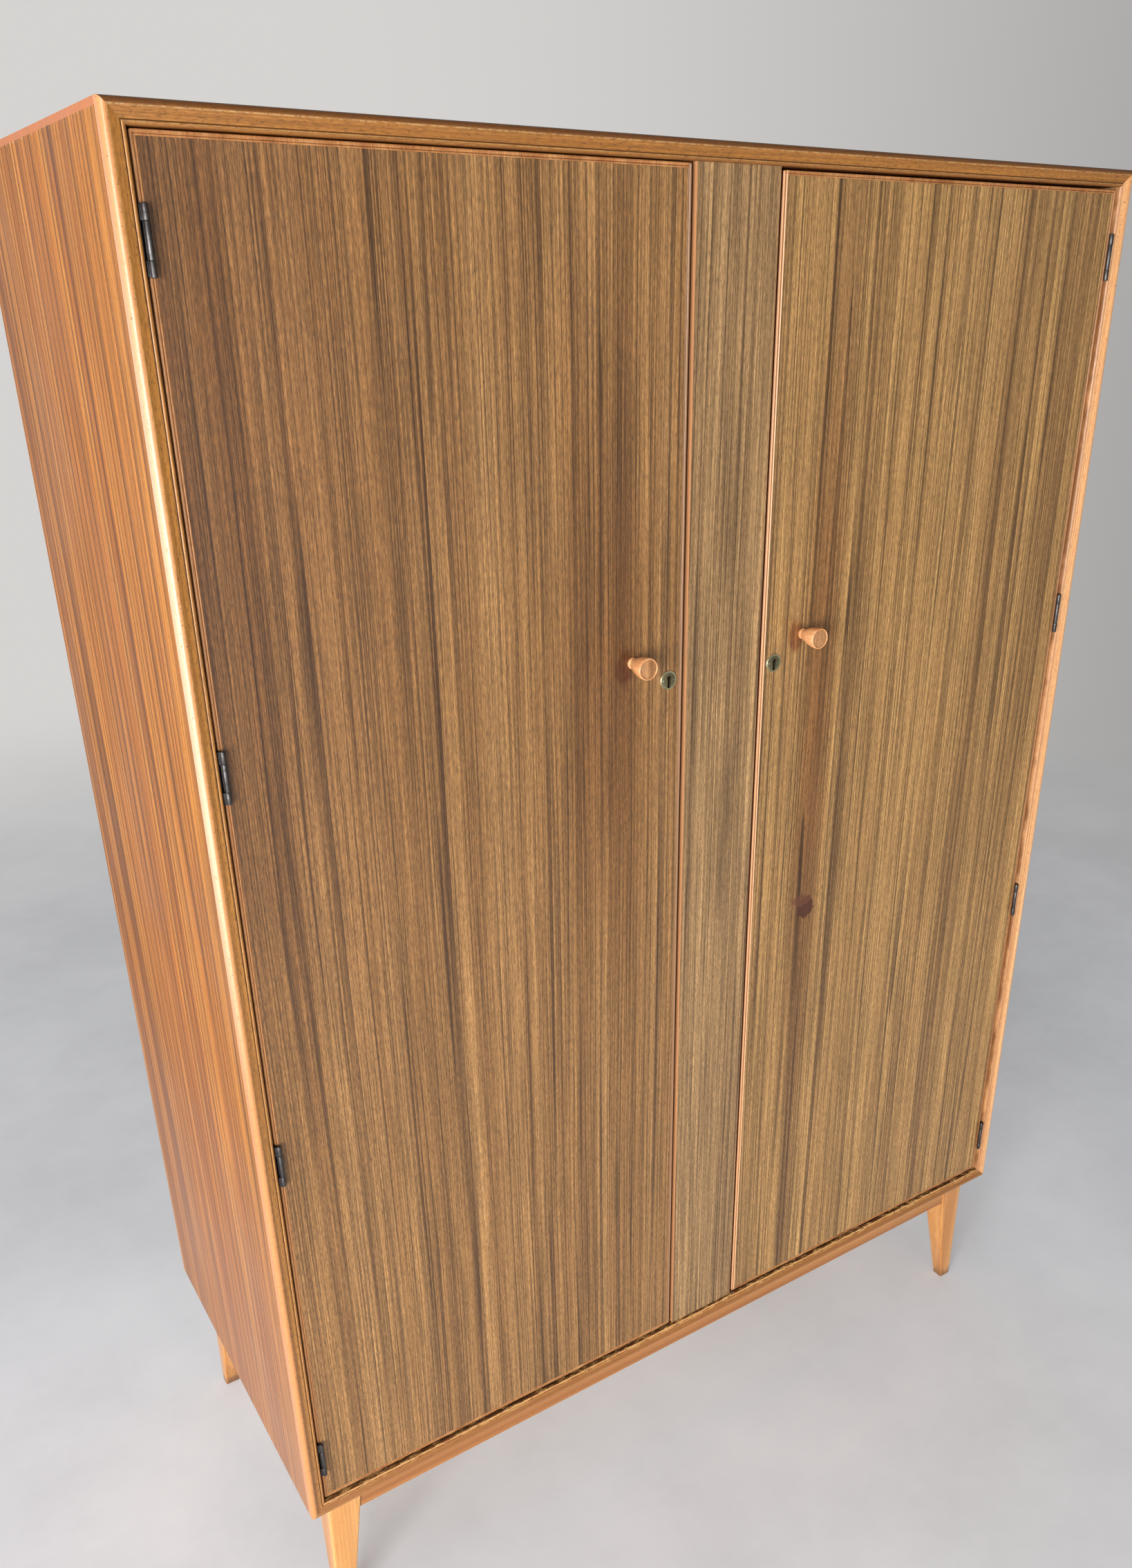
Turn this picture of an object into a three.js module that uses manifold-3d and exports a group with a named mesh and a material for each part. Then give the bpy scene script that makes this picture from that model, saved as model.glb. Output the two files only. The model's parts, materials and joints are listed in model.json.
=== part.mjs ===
// A free-standing two-door wardrobe on a leg frame.
// Millimetres, +X to the right, +Y towards the back, +Z up. The origin is on the floor, under the
// centre of the whole object. Below, a "local" place is measured from the carcass: x from its middle,
// y from its front plane towards the back and z from its underside.

import * as THREE from 'three';
import { mergeVertices } from 'three/addons/utils/BufferGeometryUtils.js';
import Module from 'manifold-3d';

const wasm = await Module();
wasm.setup();

// ---- driving dimensions -------------------------------------------------------------------------

const WIDTH = 1220;
const HEIGHT = 1520;
const DEPTH = 535;
const LEG_HEIGHT = 225.5;

const PANEL = 19;
const FRAME_WIDTH = 19;
const FRAME_PROUD = 5;
const FRAME_BACK = 8;
const MITRE_GAP = 0.125;
const REBATE_WIDTH = 9;
const BACK_THICKNESS = 6;
const GROOVE_DEPTH = 5;
const FIT_GAP = 0.3;

const PILASTER_WIDTH = 106;
const PILASTER_FRONT = 1.5;
const BOARD = 20;
const STOP_FRONT = 23;
const STOP_OVERLAP = 16;
const STOP_THICKNESS = 10;

const DOOR_FRONT = 2.5;
const HUNG_GAP = 2;
const FREE_GAP = 5.5;
const DOOR_BOTTOM_GAP = 2.25;
const LIPPING = 4.75;

const HINGE_COUNT = 4;
const HINGE_FIRST = 91;
const HINGE_PITCH = 444.25;
const HINGE_LENGTH = 52;
const HINGE_KNUCKLE = 12;
const HINGE_RADIUS = 2.5;
const HINGE_PIN_RADIUS = 1.6;
const HINGE_BORE_RADIUS = 1.95;
const HINGE_AXIS_INSET = 23.75;
const HINGE_AXIS_Y = -2.5;
const HINGE_ARM = 2;
const LEAF_THICKNESS = 1;
const LEAF_FRONT = 0.75;
const LEAF_BACK = 17.5;

const KNOB_LENGTH = 32;
const KNOB_RADIUS = 12.5;
const KNOB_NECK_RADIUS = 6;
const KNOB_BASE_RADIUS = 6.5;
const KNOB_SPIGOT = 14;
const KNOB_SPIGOT_RADIUS = 4;
const INLAY_RADIUS = 10.5;
const INLAY_DEPTH = 2;
const INLAY_SUNK = 0.5;

const ESCUTCHEON_RADIUS = 11;
const ESCUTCHEON_THICKNESS = 1.25;
const KEYHOLE_RADIUS = 2.5;
const KEYHOLE_SLOT = 3.3;
const KEYHOLE_HEIGHT = 14.4;

const LOCK_WIDTH = 36;
const LOCK_HEIGHT = 62;
const LOCK_THICKNESS = 12;
const BOLT_RISE = 10;
const BOLT_LENGTH = 24;
const BOLT_HEIGHT = 14;
const BOLT_THICKNESS = 6.5;
const BOLT_Y = 16.5;
const BOLT_SET_BACK = 0.5;
const BOLT_CLEARANCE = 0.5;
const STRIKE_HEIGHT = 40;
const STRIKE_THICKNESS = 1.25;
const STRIKE_HALF_WIDTH = 5.25;
const POCKET_DEPTH = 12;
const POCKET_CLEARANCE = 1;

const SHELF = 16;
const SHELF_COUNT = 3;
const SHELF_FRONT = 40;
const SHELF_BACK = 524;
const HAT_SHELF_Z = 1290;
const RAIL_RADIUS = 11;
const RAIL_Z = 1232;
const RAIL_Y = 275;
const RAIL_END_GAP = 3;
const SOCKET_RADIUS = 18;
const SOCKET_LENGTH = 14;
const SOCKET_FLOOR = 2.5;
const SOCKET_CLEARANCE = 0.4;

const APRON_HEIGHT = 47;
const APRON_THICKNESS = 20;
const APRON_FRONT = 21;
const APRON_SET_BACK = 2;

// Each door's own hand-fitted places: the knob and keyhole are measured in from the free edge.
const DOORS = [
  { name: 'left', side: -1, topGap: 1.25, knobInset: 68.5, knobZ: 1017, keyInset: 19.5, keyZ: 990 },
  { name: 'right', side: 1, topGap: 2.75, knobInset: 61.5, knobZ: 1015.5, keyInset: 18, keyZ: 986.25 },
];

// A leg is a tapered square post. Each corner is an inset from the carcass's outer faces.
const LEG_TOP = { outerX: 28, innerX: 76, outerY: 18.5, innerY: 68.5 };
const LEG_FOOT = { outerX: 24, innerX: 45.5, outerY: 21.5, innerY: 39.5 };

const HALF_WIDTH = WIDTH / 2;
const INNER_X = HALF_WIDTH - PANEL;
const INNER_TOP = HEIGHT - PANEL;
const DIVIDER_FRONT = STOP_FRONT + STOP_THICKNESS;
const DIVIDER_LEFT = -PANEL / 2;
const DIVIDER_RIGHT = PANEL / 2;
const PILASTER_EDGE = PILASTER_WIDTH / 2;
const BACK_Y = DEPTH - BACK_THICKNESS;
const BACK_INSET = PANEL - REBATE_WIDTH;
const KNOB_REACH = KNOB_LENGTH - DOOR_FRONT;
const FRONT_Y = -(DEPTH - KNOB_REACH) / 2;

// ---- finishes -----------------------------------------------------------------------------------

const finish = (color, roughness, metalness = 0) => () =>
  new THREE.MeshStandardMaterial({ color, roughness, metalness });

const sideVeneer = finish(0xb8784a, 0.45);
const doorVeneer = finish(0x9a7248, 0.5);
const lippingWood = finish(0xd9a06c, 0.5);
const mouldingWood = finish(0xbe883c, 0.4);
const legWood = finish(0xd7914b, 0.45);
const knobWood = finish(0xe1a069, 0.45);
const darkWood = finish(0x6b452a, 0.5);
const innerWood = finish(0xc9a274, 0.7);
const plywood = finish(0xb48e62, 0.8);
const bronze = finish(0x323237, 0.45, 0.8);
const brass = finish(0x968c5f, 0.35, 0.9);

// ---- helpers ------------------------------------------------------------------------------------

function box(x0, x1, y0, y1, z0, z1) {
  const geometry = new THREE.BoxGeometry(x1 - x0, y1 - y0, z1 - z0);
  return geometry.translate((x0 + x1) / 2, (y0 + y1) / 2, (z0 + z1) / 2);
}

// A box given by distances from the middle of the carcass towards one side (-1 left, 1 right).
function sideBox(side, near, far, y0, y1, z0, z1) {
  const [x0, x1] = side > 0 ? [near, far] : [-far, -near];
  return box(x0, x1, y0, y1, z0, z1);
}

function rod(axis, radius, from, to, across, up, segments = 16) {
  const geometry = new THREE.CylinderGeometry(radius, radius, to - from, segments);
  const middle = (from + to) / 2;
  if (axis === 'x') return geometry.rotateZ(Math.PI / 2).translate(middle, across, up);
  if (axis === 'y') return geometry.translate(across, middle, up);
  return geometry.rotateX(Math.PI / 2).translate(across, up, middle);
}

// An outline in the XY plane, pulled up along Z.
function extrude(outline, from, to, curveSegments = 4) {
  const shape = outline instanceof THREE.Shape ? outline : new THREE.Shape(outline.map(toVector));
  const options = { depth: to - from, bevelEnabled: false, curveSegments };
  return new THREE.ExtrudeGeometry(shape, options).translate(0, 0, from);
}

const toVector = ([x, y]) => new THREE.Vector2(x, y);

// Turns a geometry's own X, Y and Z directions into three given ones.
function reorient(geometry, xTo, yTo, zTo) {
  const axes = [xTo, yTo, zTo].map((axis) => new THREE.Vector3(...axis));
  return geometry.applyMatrix4(new THREE.Matrix4().makeBasis(...axes));
}

function toSolid(geometry) {
  const plain = geometry.clone();
  plain.deleteAttribute('normal');
  plain.deleteAttribute('uv');
  const merged = mergeVertices(plain);
  const vertProperties = new Float32Array(merged.attributes.position.array);
  const triVerts = new Uint32Array(merged.index.array);
  return new wasm.Manifold(new wasm.Mesh({ numProp: 3, vertProperties, triVerts }));
}

function toGeometry(solid) {
  const mesh = solid.getMesh();
  const geometry = new THREE.BufferGeometry();
  geometry.setAttribute('position', new THREE.BufferAttribute(mesh.vertProperties, 3));
  geometry.setIndex(new THREE.BufferAttribute(mesh.triVerts, 1));
  return geometry;
}

function join(first, ...others) {
  return toGeometry(others.reduce((solid, other) => solid.add(toSolid(other)), toSolid(first)));
}

function cut(first, ...others) {
  return toGeometry(others.reduce((solid, other) => solid.subtract(toSolid(other)), toSolid(first)));
}

function piece(parent, name, geometry, material) {
  const mesh = new THREE.Mesh(geometry, material());
  mesh.name = name;
  parent.add(mesh);
}

// ---- carcass ------------------------------------------------------------------------------------

// A groove across a panel's face that holds a shelf's end.
function shelfGroove(x0, x1, shelfZ) {
  return box(x0, x1, SHELF_FRONT - FIT_GAP, BACK_Y, shelfZ - FIT_GAP, shelfZ + SHELF + FIT_GAP);
}

function shelfHeights() {
  const space = (INNER_TOP - PANEL - SHELF_COUNT * SHELF) / (SHELF_COUNT + 1);
  return Array.from({ length: SHELF_COUNT }, (_, i) => PANEL + space + i * (space + SHELF));
}

// The back panel, or the recess that all four outer panels have for it.
function backBlock(extraDepth = 0) {
  const halfWidth = HALF_WIDTH - BACK_INSET;
  return box(-halfWidth, halfWidth, BACK_Y, DEPTH + extraDepth, BACK_INSET, HEIGHT - BACK_INSET);
}

function outerPanel(blank, ...grooves) {
  return cut(blank, backBlock(1), ...grooves);
}

// The front frame's section: outer round, hollow band, fine quirk and inner bead.
// u runs inwards from the outer face, v towards the back.
function mouldingSection() {
  const shape = new THREE.Shape();
  shape.moveTo(0, FRAME_BACK);
  shape.lineTo(0, 0.5);
  shape.quadraticCurveTo(0.5, -4, 5.5, -FRAME_PROUD);
  shape.quadraticCurveTo(9, -2.75, 14.5, -1.75);
  shape.lineTo(14.75, -0.5);
  shape.lineTo(15, -1.5);
  shape.quadraticCurveTo(18.5, -2.25, FRAME_WIDTH, 1);
  shape.lineTo(FRAME_WIDTH, FRAME_BACK);
  return shape;
}

// A frame rail with both ends mitred at 45 degrees.
function mitredRail(length) {
  const rail = extrude(mouldingSection(), 0, length, 3);
  const places = rail.attributes.position;
  for (let i = 0; i < places.count; i++) {
    const mitre = places.getX(i) + MITRE_GAP;
    const atStart = places.getZ(i) < length / 2;
    places.setZ(i, atStart ? mitre : length - mitre);
  }
  return rail;
}

function addFrame(parent) {
  const upright = () => mitredRail(HEIGHT);
  const level = () => mitredRail(WIDTH);
  const rails = {
    left: reorient(upright(), [1, 0, 0], [0, 1, 0], [0, 0, 1]).translate(-HALF_WIDTH, 0, 0),
    right: reorient(upright(), [-1, 0, 0], [0, 1, 0], [0, 0, -1]).translate(HALF_WIDTH, 0, HEIGHT),
    top: reorient(level(), [0, 0, -1], [0, 1, 0], [1, 0, 0]).translate(-HALF_WIDTH, 0, HEIGHT),
    bottom: reorient(level(), [0, 0, 1], [0, 1, 0], [-1, 0, 0]).translate(HALF_WIDTH, 0, 0),
  };
  for (const [name, rail] of Object.entries(rails)) {
    piece(parent, `moulding_${name}`, rail, mouldingWood);
  }
}

function addCarcass(parent) {
  const side = (x0, x1) => box(x0, x1, FRAME_BACK, DEPTH, 0, HEIGHT);
  const level = (z0, z1) => box(-INNER_X, INNER_X, FRAME_BACK, DEPTH, z0, z1);
  const grooves = (x0, x1) => shelfHeights().map((z) => shelfGroove(x0, x1, z));
  const hatGroove = shelfGroove(-INNER_X - GROOVE_DEPTH, -INNER_X, HAT_SHELF_Z);
  const rightGrooves = grooves(INNER_X, INNER_X + GROOVE_DEPTH);
  const divider = box(DIVIDER_LEFT, DIVIDER_RIGHT, DIVIDER_FRONT, BACK_Y, PANEL, INNER_TOP);
  const dividerGrooves = [
    shelfGroove(DIVIDER_LEFT, DIVIDER_LEFT + GROOVE_DEPTH, HAT_SHELF_Z),
    ...grooves(DIVIDER_RIGHT - GROOVE_DEPTH, DIVIDER_RIGHT),
  ];

  piece(parent, 'side_left', outerPanel(side(-HALF_WIDTH, -INNER_X), hatGroove), sideVeneer);
  piece(parent, 'side_right', outerPanel(side(INNER_X, HALF_WIDTH), ...rightGrooves), sideVeneer);
  piece(parent, 'top_panel', outerPanel(level(INNER_TOP, HEIGHT)), sideVeneer);
  piece(parent, 'bottom_panel', outerPanel(level(0, PANEL)), innerWood);
  piece(parent, 'back_panel', backBlock(), plywood);
  piece(parent, 'center_divider', cut(divider, ...dividerGrooves), innerWood);
}

function addInterior(parent) {
  const reach = GROOVE_DEPTH - FIT_GAP;
  const shelf = (x0, x1, z) => box(x0, x1, SHELF_FRONT, SHELF_BACK, z, z + SHELF);
  piece(parent, 'hat_shelf', shelf(-INNER_X - reach, DIVIDER_LEFT + reach, HAT_SHELF_Z), innerWood);
  shelfHeights().forEach((z, i) => {
    piece(parent, `shelf_${i + 1}`, shelf(DIVIDER_RIGHT - reach, INNER_X + reach, z), innerWood);
  });

  // The rail's ends sit in two turned sockets, screwed to the side and to the divider.
  const ends = { left: -INNER_X, right: DIVIDER_LEFT };
  const rail = rod('x', RAIL_RADIUS, ends.left + RAIL_END_GAP, ends.right - RAIL_END_GAP, RAIL_Y, RAIL_Z);
  piece(parent, 'hanging_rail', rail, lippingWood);
  for (const [name, wall] of Object.entries(ends)) {
    const inwards = name === 'left' ? 1 : -1;
    const alongWall = (radius, near, far, segments) => {
      const [from, to] = [wall + inwards * near, wall + inwards * far].sort((a, b) => a - b);
      return rod('x', radius, from, to, RAIL_Y, RAIL_Z, segments);
    };
    const cup = alongWall(SOCKET_RADIUS, 0, SOCKET_LENGTH, 24);
    const bore = alongWall(RAIL_RADIUS + SOCKET_CLEARANCE, SOCKET_FLOOR, SOCKET_LENGTH + 1, 16);
    piece(parent, `rail_socket_${name}`, cut(cup, bore), darkWood);
  }
}

// ---- middle stile -------------------------------------------------------------------------------

function strikePocket({ side, keyZ }) {
  const boltZ = keyZ + BOLT_RISE;
  const halfThick = BOLT_THICKNESS / 2 + POCKET_CLEARANCE;
  const halfHigh = BOLT_HEIGHT / 2 + POCKET_CLEARANCE;
  return sideBox(side, PILASTER_EDGE - POCKET_DEPTH, PILASTER_EDGE + 1, BOLT_Y - halfThick,
    BOLT_Y + halfThick, boltZ - halfHigh, boltZ + halfHigh);
}

function strikePlate({ side, keyZ }, grow = 0) {
  const boltZ = keyZ + BOLT_RISE;
  const outer = PILASTER_EDGE + (grow ? 1 : 0);
  const halfWide = STRIKE_HALF_WIDTH + grow;
  const halfHigh = STRIKE_HEIGHT / 2 + grow;
  return sideBox(side, PILASTER_EDGE - STRIKE_THICKNESS - grow, outer, BOLT_Y - halfWide,
    BOLT_Y + halfWide, boltZ - halfHigh, boltZ + halfHigh);
}

function addPilaster(parent) {
  const stile = box(-PILASTER_EDGE, PILASTER_EDGE, PILASTER_FRONT, STOP_FRONT, PANEL, INNER_TOP);
  const recesses = DOORS.flatMap((door) => [strikePocket(door), strikePlate(door, FIT_GAP)]);
  piece(parent, 'pilaster', cut(stile, ...recesses), doorVeneer);

  const stopEdge = PILASTER_EDGE + STOP_OVERLAP;
  const stop = box(-stopEdge, stopEdge, STOP_FRONT, DIVIDER_FRONT, PANEL, INNER_TOP);
  piece(parent, 'door_stop_strip', stop, innerWood);
  for (const door of DOORS) {
    piece(parent, `${door.name}_strike_plate`, cut(strikePlate(door), strikePocket(door)), brass);
  }
}

// ---- hinges -------------------------------------------------------------------------------------

const HINGE_AXIS = HALF_WIDTH - HINGE_AXIS_INSET;
const hingeBase = (i) => HINGE_FIRST + i * HINGE_PITCH - HINGE_LENGTH / 2;

// A leaf's flat plate and the tongue that runs forwards from it to a knuckle.
function plate(side, near, y0, y1, z0, z1) {
  return sideBox(side, near, near + LEAF_THICKNESS, y0, y1, z0, z1);
}

// The fixed leaf lies on the frame's inner face and carries the outer knuckles and the pin.
function frameLeaf(side, base) {
  const near = INNER_X - FIT_GAP - LEAF_THICKNESS;
  const top = base + HINGE_LENGTH;
  const knuckles = [[base, base + HINGE_KNUCKLE], [top - HINGE_KNUCKLE, top]];
  const parts = [rod('z', HINGE_PIN_RADIUS, base + 1, top - 1, side * HINGE_AXIS, HINGE_AXIS_Y, 12)];
  for (const [z0, z1] of knuckles) {
    parts.push(rod('z', HINGE_RADIUS, z0, z1, side * HINGE_AXIS, HINGE_AXIS_Y));
    parts.push(plate(side, near, HINGE_AXIS_Y, DOOR_FRONT + 1, z0, z1));
    parts.push(sideBox(side, HINGE_AXIS + 1, near + 0.5, HINGE_AXIS_Y, HINGE_AXIS_Y + HINGE_ARM, z0, z1));
  }
  return join(plate(side, near, DOOR_FRONT + LEAF_FRONT, DOOR_FRONT + LEAF_BACK, base, top), ...parts);
}

// The moving leaf is let into the door's edge and turns on the pin with its middle knuckle.
function doorLeaf(side, base) {
  const near = HALF_WIDTH - FRAME_WIDTH - HUNG_GAP - LEAF_THICKNESS;
  const low = base + HINGE_KNUCKLE + FIT_GAP;
  const high = base + HINGE_LENGTH - HINGE_KNUCKLE - FIT_GAP;
  const [front, back] = [DOOR_FRONT + LEAF_FRONT, DOOR_FRONT + LEAF_BACK];
  const sheet = plate(side, near, front, back, base, base + HINGE_LENGTH);
  const tongue = plate(side, near, HINGE_AXIS_Y + HINGE_RADIUS - 1, DOOR_FRONT + 1, low, high);
  const knuckle = rod('z', HINGE_RADIUS, low, high, side * HINGE_AXIS, HINGE_AXIS_Y);
  const bore = rod('z', HINGE_BORE_RADIUS, low - 1, high + 1, side * HINGE_AXIS, HINGE_AXIS_Y);
  return cut(join(sheet, tongue, knuckle), bore);
}

// The recess in the door's edge that the moving leaf lies in.
function leafRecess(side, base) {
  const edge = HALF_WIDTH - FRAME_WIDTH - HUNG_GAP;
  const depth = LEAF_THICKNESS + FIT_GAP;
  return sideBox(side, edge - depth, edge + 1, DOOR_FRONT - 1, DOOR_FRONT + LEAF_BACK + FIT_GAP,
    base - FIT_GAP, base + HINGE_LENGTH + FIT_GAP);
}

function addHinges(parent, { name, side }) {
  for (let i = 0; i < HINGE_COUNT; i++) {
    piece(parent, `${name}_hinge_${i + 1}_frame_leaf`, frameLeaf(side, hingeBase(i)), bronze);
    piece(parent, `${name}_hinge_${i + 1}_door_leaf`, doorLeaf(side, hingeBase(i)), bronze);
  }
}

// ---- doors --------------------------------------------------------------------------------------

// The four edges of a door, with x as a distance from the carcass's middle.
function doorEdges({ topGap }) {
  return {
    free: PILASTER_EDGE + FREE_GAP,
    hung: HALF_WIDTH - FRAME_WIDTH - HUNG_GAP,
    low: FRAME_WIDTH + DOOR_BOTTOM_GAP,
    high: HEIGHT - FRAME_WIDTH - topGap,
  };
}

function keyhole(x, z, y0, y1) {
  const slotTop = z + KEYHOLE_RADIUS;
  const slotLow = slotTop + KEYHOLE_RADIUS - KEYHOLE_HEIGHT;
  const slot = box(x - KEYHOLE_SLOT / 2, x + KEYHOLE_SLOT / 2, y0, y1, slotLow, slotTop);
  return join(rod('y', KEYHOLE_RADIUS, y0, y1, x, slotTop), slot);
}

// The lock is let into the door's back, flush with the free edge.
function lockBlock({ side, keyZ }, free, grow = 0) {
  const back = DOOR_FRONT + BOARD;
  const halfHigh = LOCK_HEIGHT / 2 + grow;
  return sideBox(side, free - grow, free + LOCK_WIDTH + grow, back - LOCK_THICKNESS - grow,
    back + grow, keyZ - halfHigh, keyZ + halfHigh);
}

function boltBlock({ side, keyZ }, free, length, grow = 0) {
  const boltZ = keyZ + BOLT_RISE;
  const start = grow ? free - 1 : free + BOLT_SET_BACK;
  const halfThick = BOLT_THICKNESS / 2 + grow;
  const halfHigh = BOLT_HEIGHT / 2 + grow;
  return sideBox(side, start, free + length, BOLT_Y - halfThick, BOLT_Y + halfThick,
    boltZ - halfHigh, boltZ + halfHigh);
}

function addDoorBoards(parent, door) {
  const { name, side } = door;
  const { free, hung, low, high } = doorEdges(door);
  const back = DOOR_FRONT + BOARD;
  const keyX = side * (free + door.keyInset);
  const mortise = lockBlock(door, free, FIT_GAP);

  const core = (y0, y1) => sideBox(side, free + LIPPING, hung - LIPPING, y0, y1,
    low + LIPPING, high - LIPPING);
  const knobHole = rod('y', KNOB_SPIGOT_RADIUS + FIT_GAP, DOOR_FRONT - 1, DOOR_FRONT + KNOB_SPIGOT + 1,
    side * (free + door.knobInset), door.knobZ);
  const keyWay = keyhole(keyX, door.keyZ, DOOR_FRONT - 1, back - LOCK_THICKNESS);
  const board = cut(core(DOOR_FRONT, back), mortise, knobHole, keyWay);
  piece(parent, `${name}_door_board`, board, doorVeneer);

  const outer = sideBox(side, free, hung, DOOR_FRONT, back, low, high);
  const recesses = Array.from({ length: HINGE_COUNT }, (_, i) => leafRecess(side, hingeBase(i)));
  const lipping = cut(outer, core(DOOR_FRONT - 1, back + 1), mortise, ...recesses);
  piece(parent, `${name}_door_lipping`, lipping, lippingWood);
}

function addLock(parent, door) {
  const { free } = doorEdges(door);
  const back = DOOR_FRONT + BOARD;
  const block = lockBlock(door, free);
  const channel = boltBlock(door, free, BOLT_LENGTH + 2, BOLT_CLEARANCE);
  const keyX = door.side * (free + door.keyInset);
  const keyWay = keyhole(keyX, door.keyZ, back - LOCK_THICKNESS - 1, BOLT_Y);
  piece(parent, `${door.name}_lock_case`, cut(block, channel, keyWay), bronze);
  piece(parent, `${door.name}_lock_bolt`, boltBlock(door, free, BOLT_LENGTH), brass);
}

// A turned knob: spigot in the door, base bead, neck and a bell that flares to the face.
function knobProfile() {
  const face = -KNOB_LENGTH;
  const recess = INLAY_RADIUS + FIT_GAP;
  const bell = [[11.75, 0], [KNOB_RADIUS, 3], [12, 7], [11.25, 12], [10, 17], [8.25, 22], [6.75, 26]];
  return [
    [0, face + INLAY_DEPTH],
    [recess, face + INLAY_DEPTH],
    [recess, face],
    ...bell.map(([radius, behindFace]) => [radius, face + behindFace]),
    [KNOB_NECK_RADIUS, -3],
    [KNOB_BASE_RADIUS, -2.25],
    [KNOB_BASE_RADIUS, -0.25],
    [KNOB_SPIGOT_RADIUS, -0.25],
    [KNOB_SPIGOT_RADIUS, KNOB_SPIGOT],
    [0, KNOB_SPIGOT],
  ].map(toVector);
}

function addKnob(parent, door) {
  const knob = new THREE.Group();
  const { free } = doorEdges(door);
  knob.position.set(door.side * (free + door.knobInset), DOOR_FRONT, door.knobZ);
  parent.add(knob);
  piece(knob, `${door.name}_knob`, new THREE.LatheGeometry(knobProfile(), 20), knobWood);
  const [inlayFront, inlayBack] = [INLAY_SUNK - KNOB_LENGTH, INLAY_DEPTH - FIT_GAP - KNOB_LENGTH];
  const inlay = rod('y', INLAY_RADIUS, inlayFront, inlayBack, 0, 0, 24);
  piece(knob, `${door.name}_knob_inlay`, inlay, darkWood);
}

function addEscutcheon(parent, door) {
  const { free } = doorEdges(door);
  const x = door.side * (free + door.keyInset);
  const front = DOOR_FRONT - FIT_GAP - ESCUTCHEON_THICKNESS;
  const disc = rod('y', ESCUTCHEON_RADIUS, front, DOOR_FRONT - FIT_GAP, x, door.keyZ, 28);
  const hole = keyhole(x, door.keyZ, front - 1, DOOR_FRONT + 1);
  piece(parent, `${door.name}_escutcheon`, cut(disc, hole), brass);
}

function addDoor(parent, door) {
  const group = new THREE.Group();
  parent.add(group);
  addDoorBoards(group, door);
  addLock(group, door);
  addKnob(group, door);
  addEscutcheon(group, door);
}

// ---- leg frame ----------------------------------------------------------------------------------

// Inset of a leg's corner at a depth below the carcass.
function legInset(key, depth) {
  return THREE.MathUtils.lerp(LEG_TOP[key], LEG_FOOT[key], depth / LEG_HEIGHT);
}

// A leg at the front left; the others are its mirror images.
function legPost(sideX, sideY) {
  const post = new THREE.BoxGeometry(1, 1, 1);
  const places = post.attributes.position;
  for (let i = 0; i < places.count; i++) {
    const rightHand = places.getX(i) > 0;
    const rear = places.getY(i) > 0;
    const depth = places.getZ(i) > 0 ? 0 : LEG_HEIGHT;
    const insetX = legInset(rightHand === sideX < 0 ? 'innerX' : 'outerX', depth);
    const insetY = legInset(rear === sideY < 0 ? 'innerY' : 'outerY', depth);
    places.setX(i, sideX * (HALF_WIDTH - insetX));
    places.setY(i, sideY < 0 ? insetY : DEPTH - insetY);
    places.setZ(i, -depth);
  }
  return post;
}

// Apron rails fill the span between the legs' slanting inner faces.
function apronOutline(halfSpan, key) {
  const top = halfSpan - legInset(key, 0) - FIT_GAP;
  const low = halfSpan - legInset(key, APRON_HEIGHT) - FIT_GAP;
  return [[-low, -APRON_HEIGHT], [low, -APRON_HEIGHT], [top, 0], [-top, 0]];
}

function addLegFrame(parent) {
  const corners = { front_left: [-1, -1], front_right: [1, -1], back_left: [-1, 1], back_right: [1, 1] };
  for (const [name, [sideX, sideY]] of Object.entries(corners)) {
    piece(parent, `leg_${name}`, legPost(sideX, sideY), legWood);
  }

  const rail = (halfSpan, key) => extrude(apronOutline(halfSpan, key), 0, APRON_THICKNESS);
  const long = () => reorient(rail(HALF_WIDTH, 'innerX'), [1, 0, 0], [0, 0, 1], [0, -1, 0]);
  const short = () => reorient(rail(DEPTH / 2, 'innerY'), [0, 1, 0], [0, 0, 1], [1, 0, 0]);
  const outerX = HALF_WIDTH - LEG_TOP.outerX - APRON_SET_BACK;
  piece(parent, 'apron_front', long().translate(0, APRON_FRONT + APRON_THICKNESS, 0), legWood);
  piece(parent, 'apron_back', long().translate(0, DEPTH - APRON_FRONT, 0), legWood);
  piece(parent, 'apron_left', short().translate(-outerX, DEPTH / 2, 0), legWood);
  piece(parent, 'apron_right', short().translate(outerX - APRON_THICKNESS, DEPTH / 2, 0), legWood);
}

// ---- the wardrobe -------------------------------------------------------------------------------

const wardrobe = new THREE.Group();
const carcass = new THREE.Group();
carcass.position.set(0, FRONT_Y, LEG_HEIGHT);
wardrobe.add(carcass);

addCarcass(carcass);
addFrame(carcass);
addPilaster(carcass);
addInterior(carcass);
addLegFrame(carcass);
for (const door of DOORS) {
  addDoor(carcass, door);
  addHinges(carcass, door);
}

export default wardrobe;
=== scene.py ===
"""A two-door wardrobe on a tapered leg frame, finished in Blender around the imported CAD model.

Metres, in the CAD frame: +X right, +Y towards the back, +Z up, the floor at zero. Shapes are drawn in
millimetres from the carcass: x from its middle, y back from its front plane, z up from its underside.
Pieces with rounded, turned or moulded shapes stand in for their CAD nodes. Flat boards stay as they are
and get eased edges. Every surface has a procedural material.
"""

import json
import math

import bmesh
import bpy
from mathutils import Matrix, Vector, noise


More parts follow.
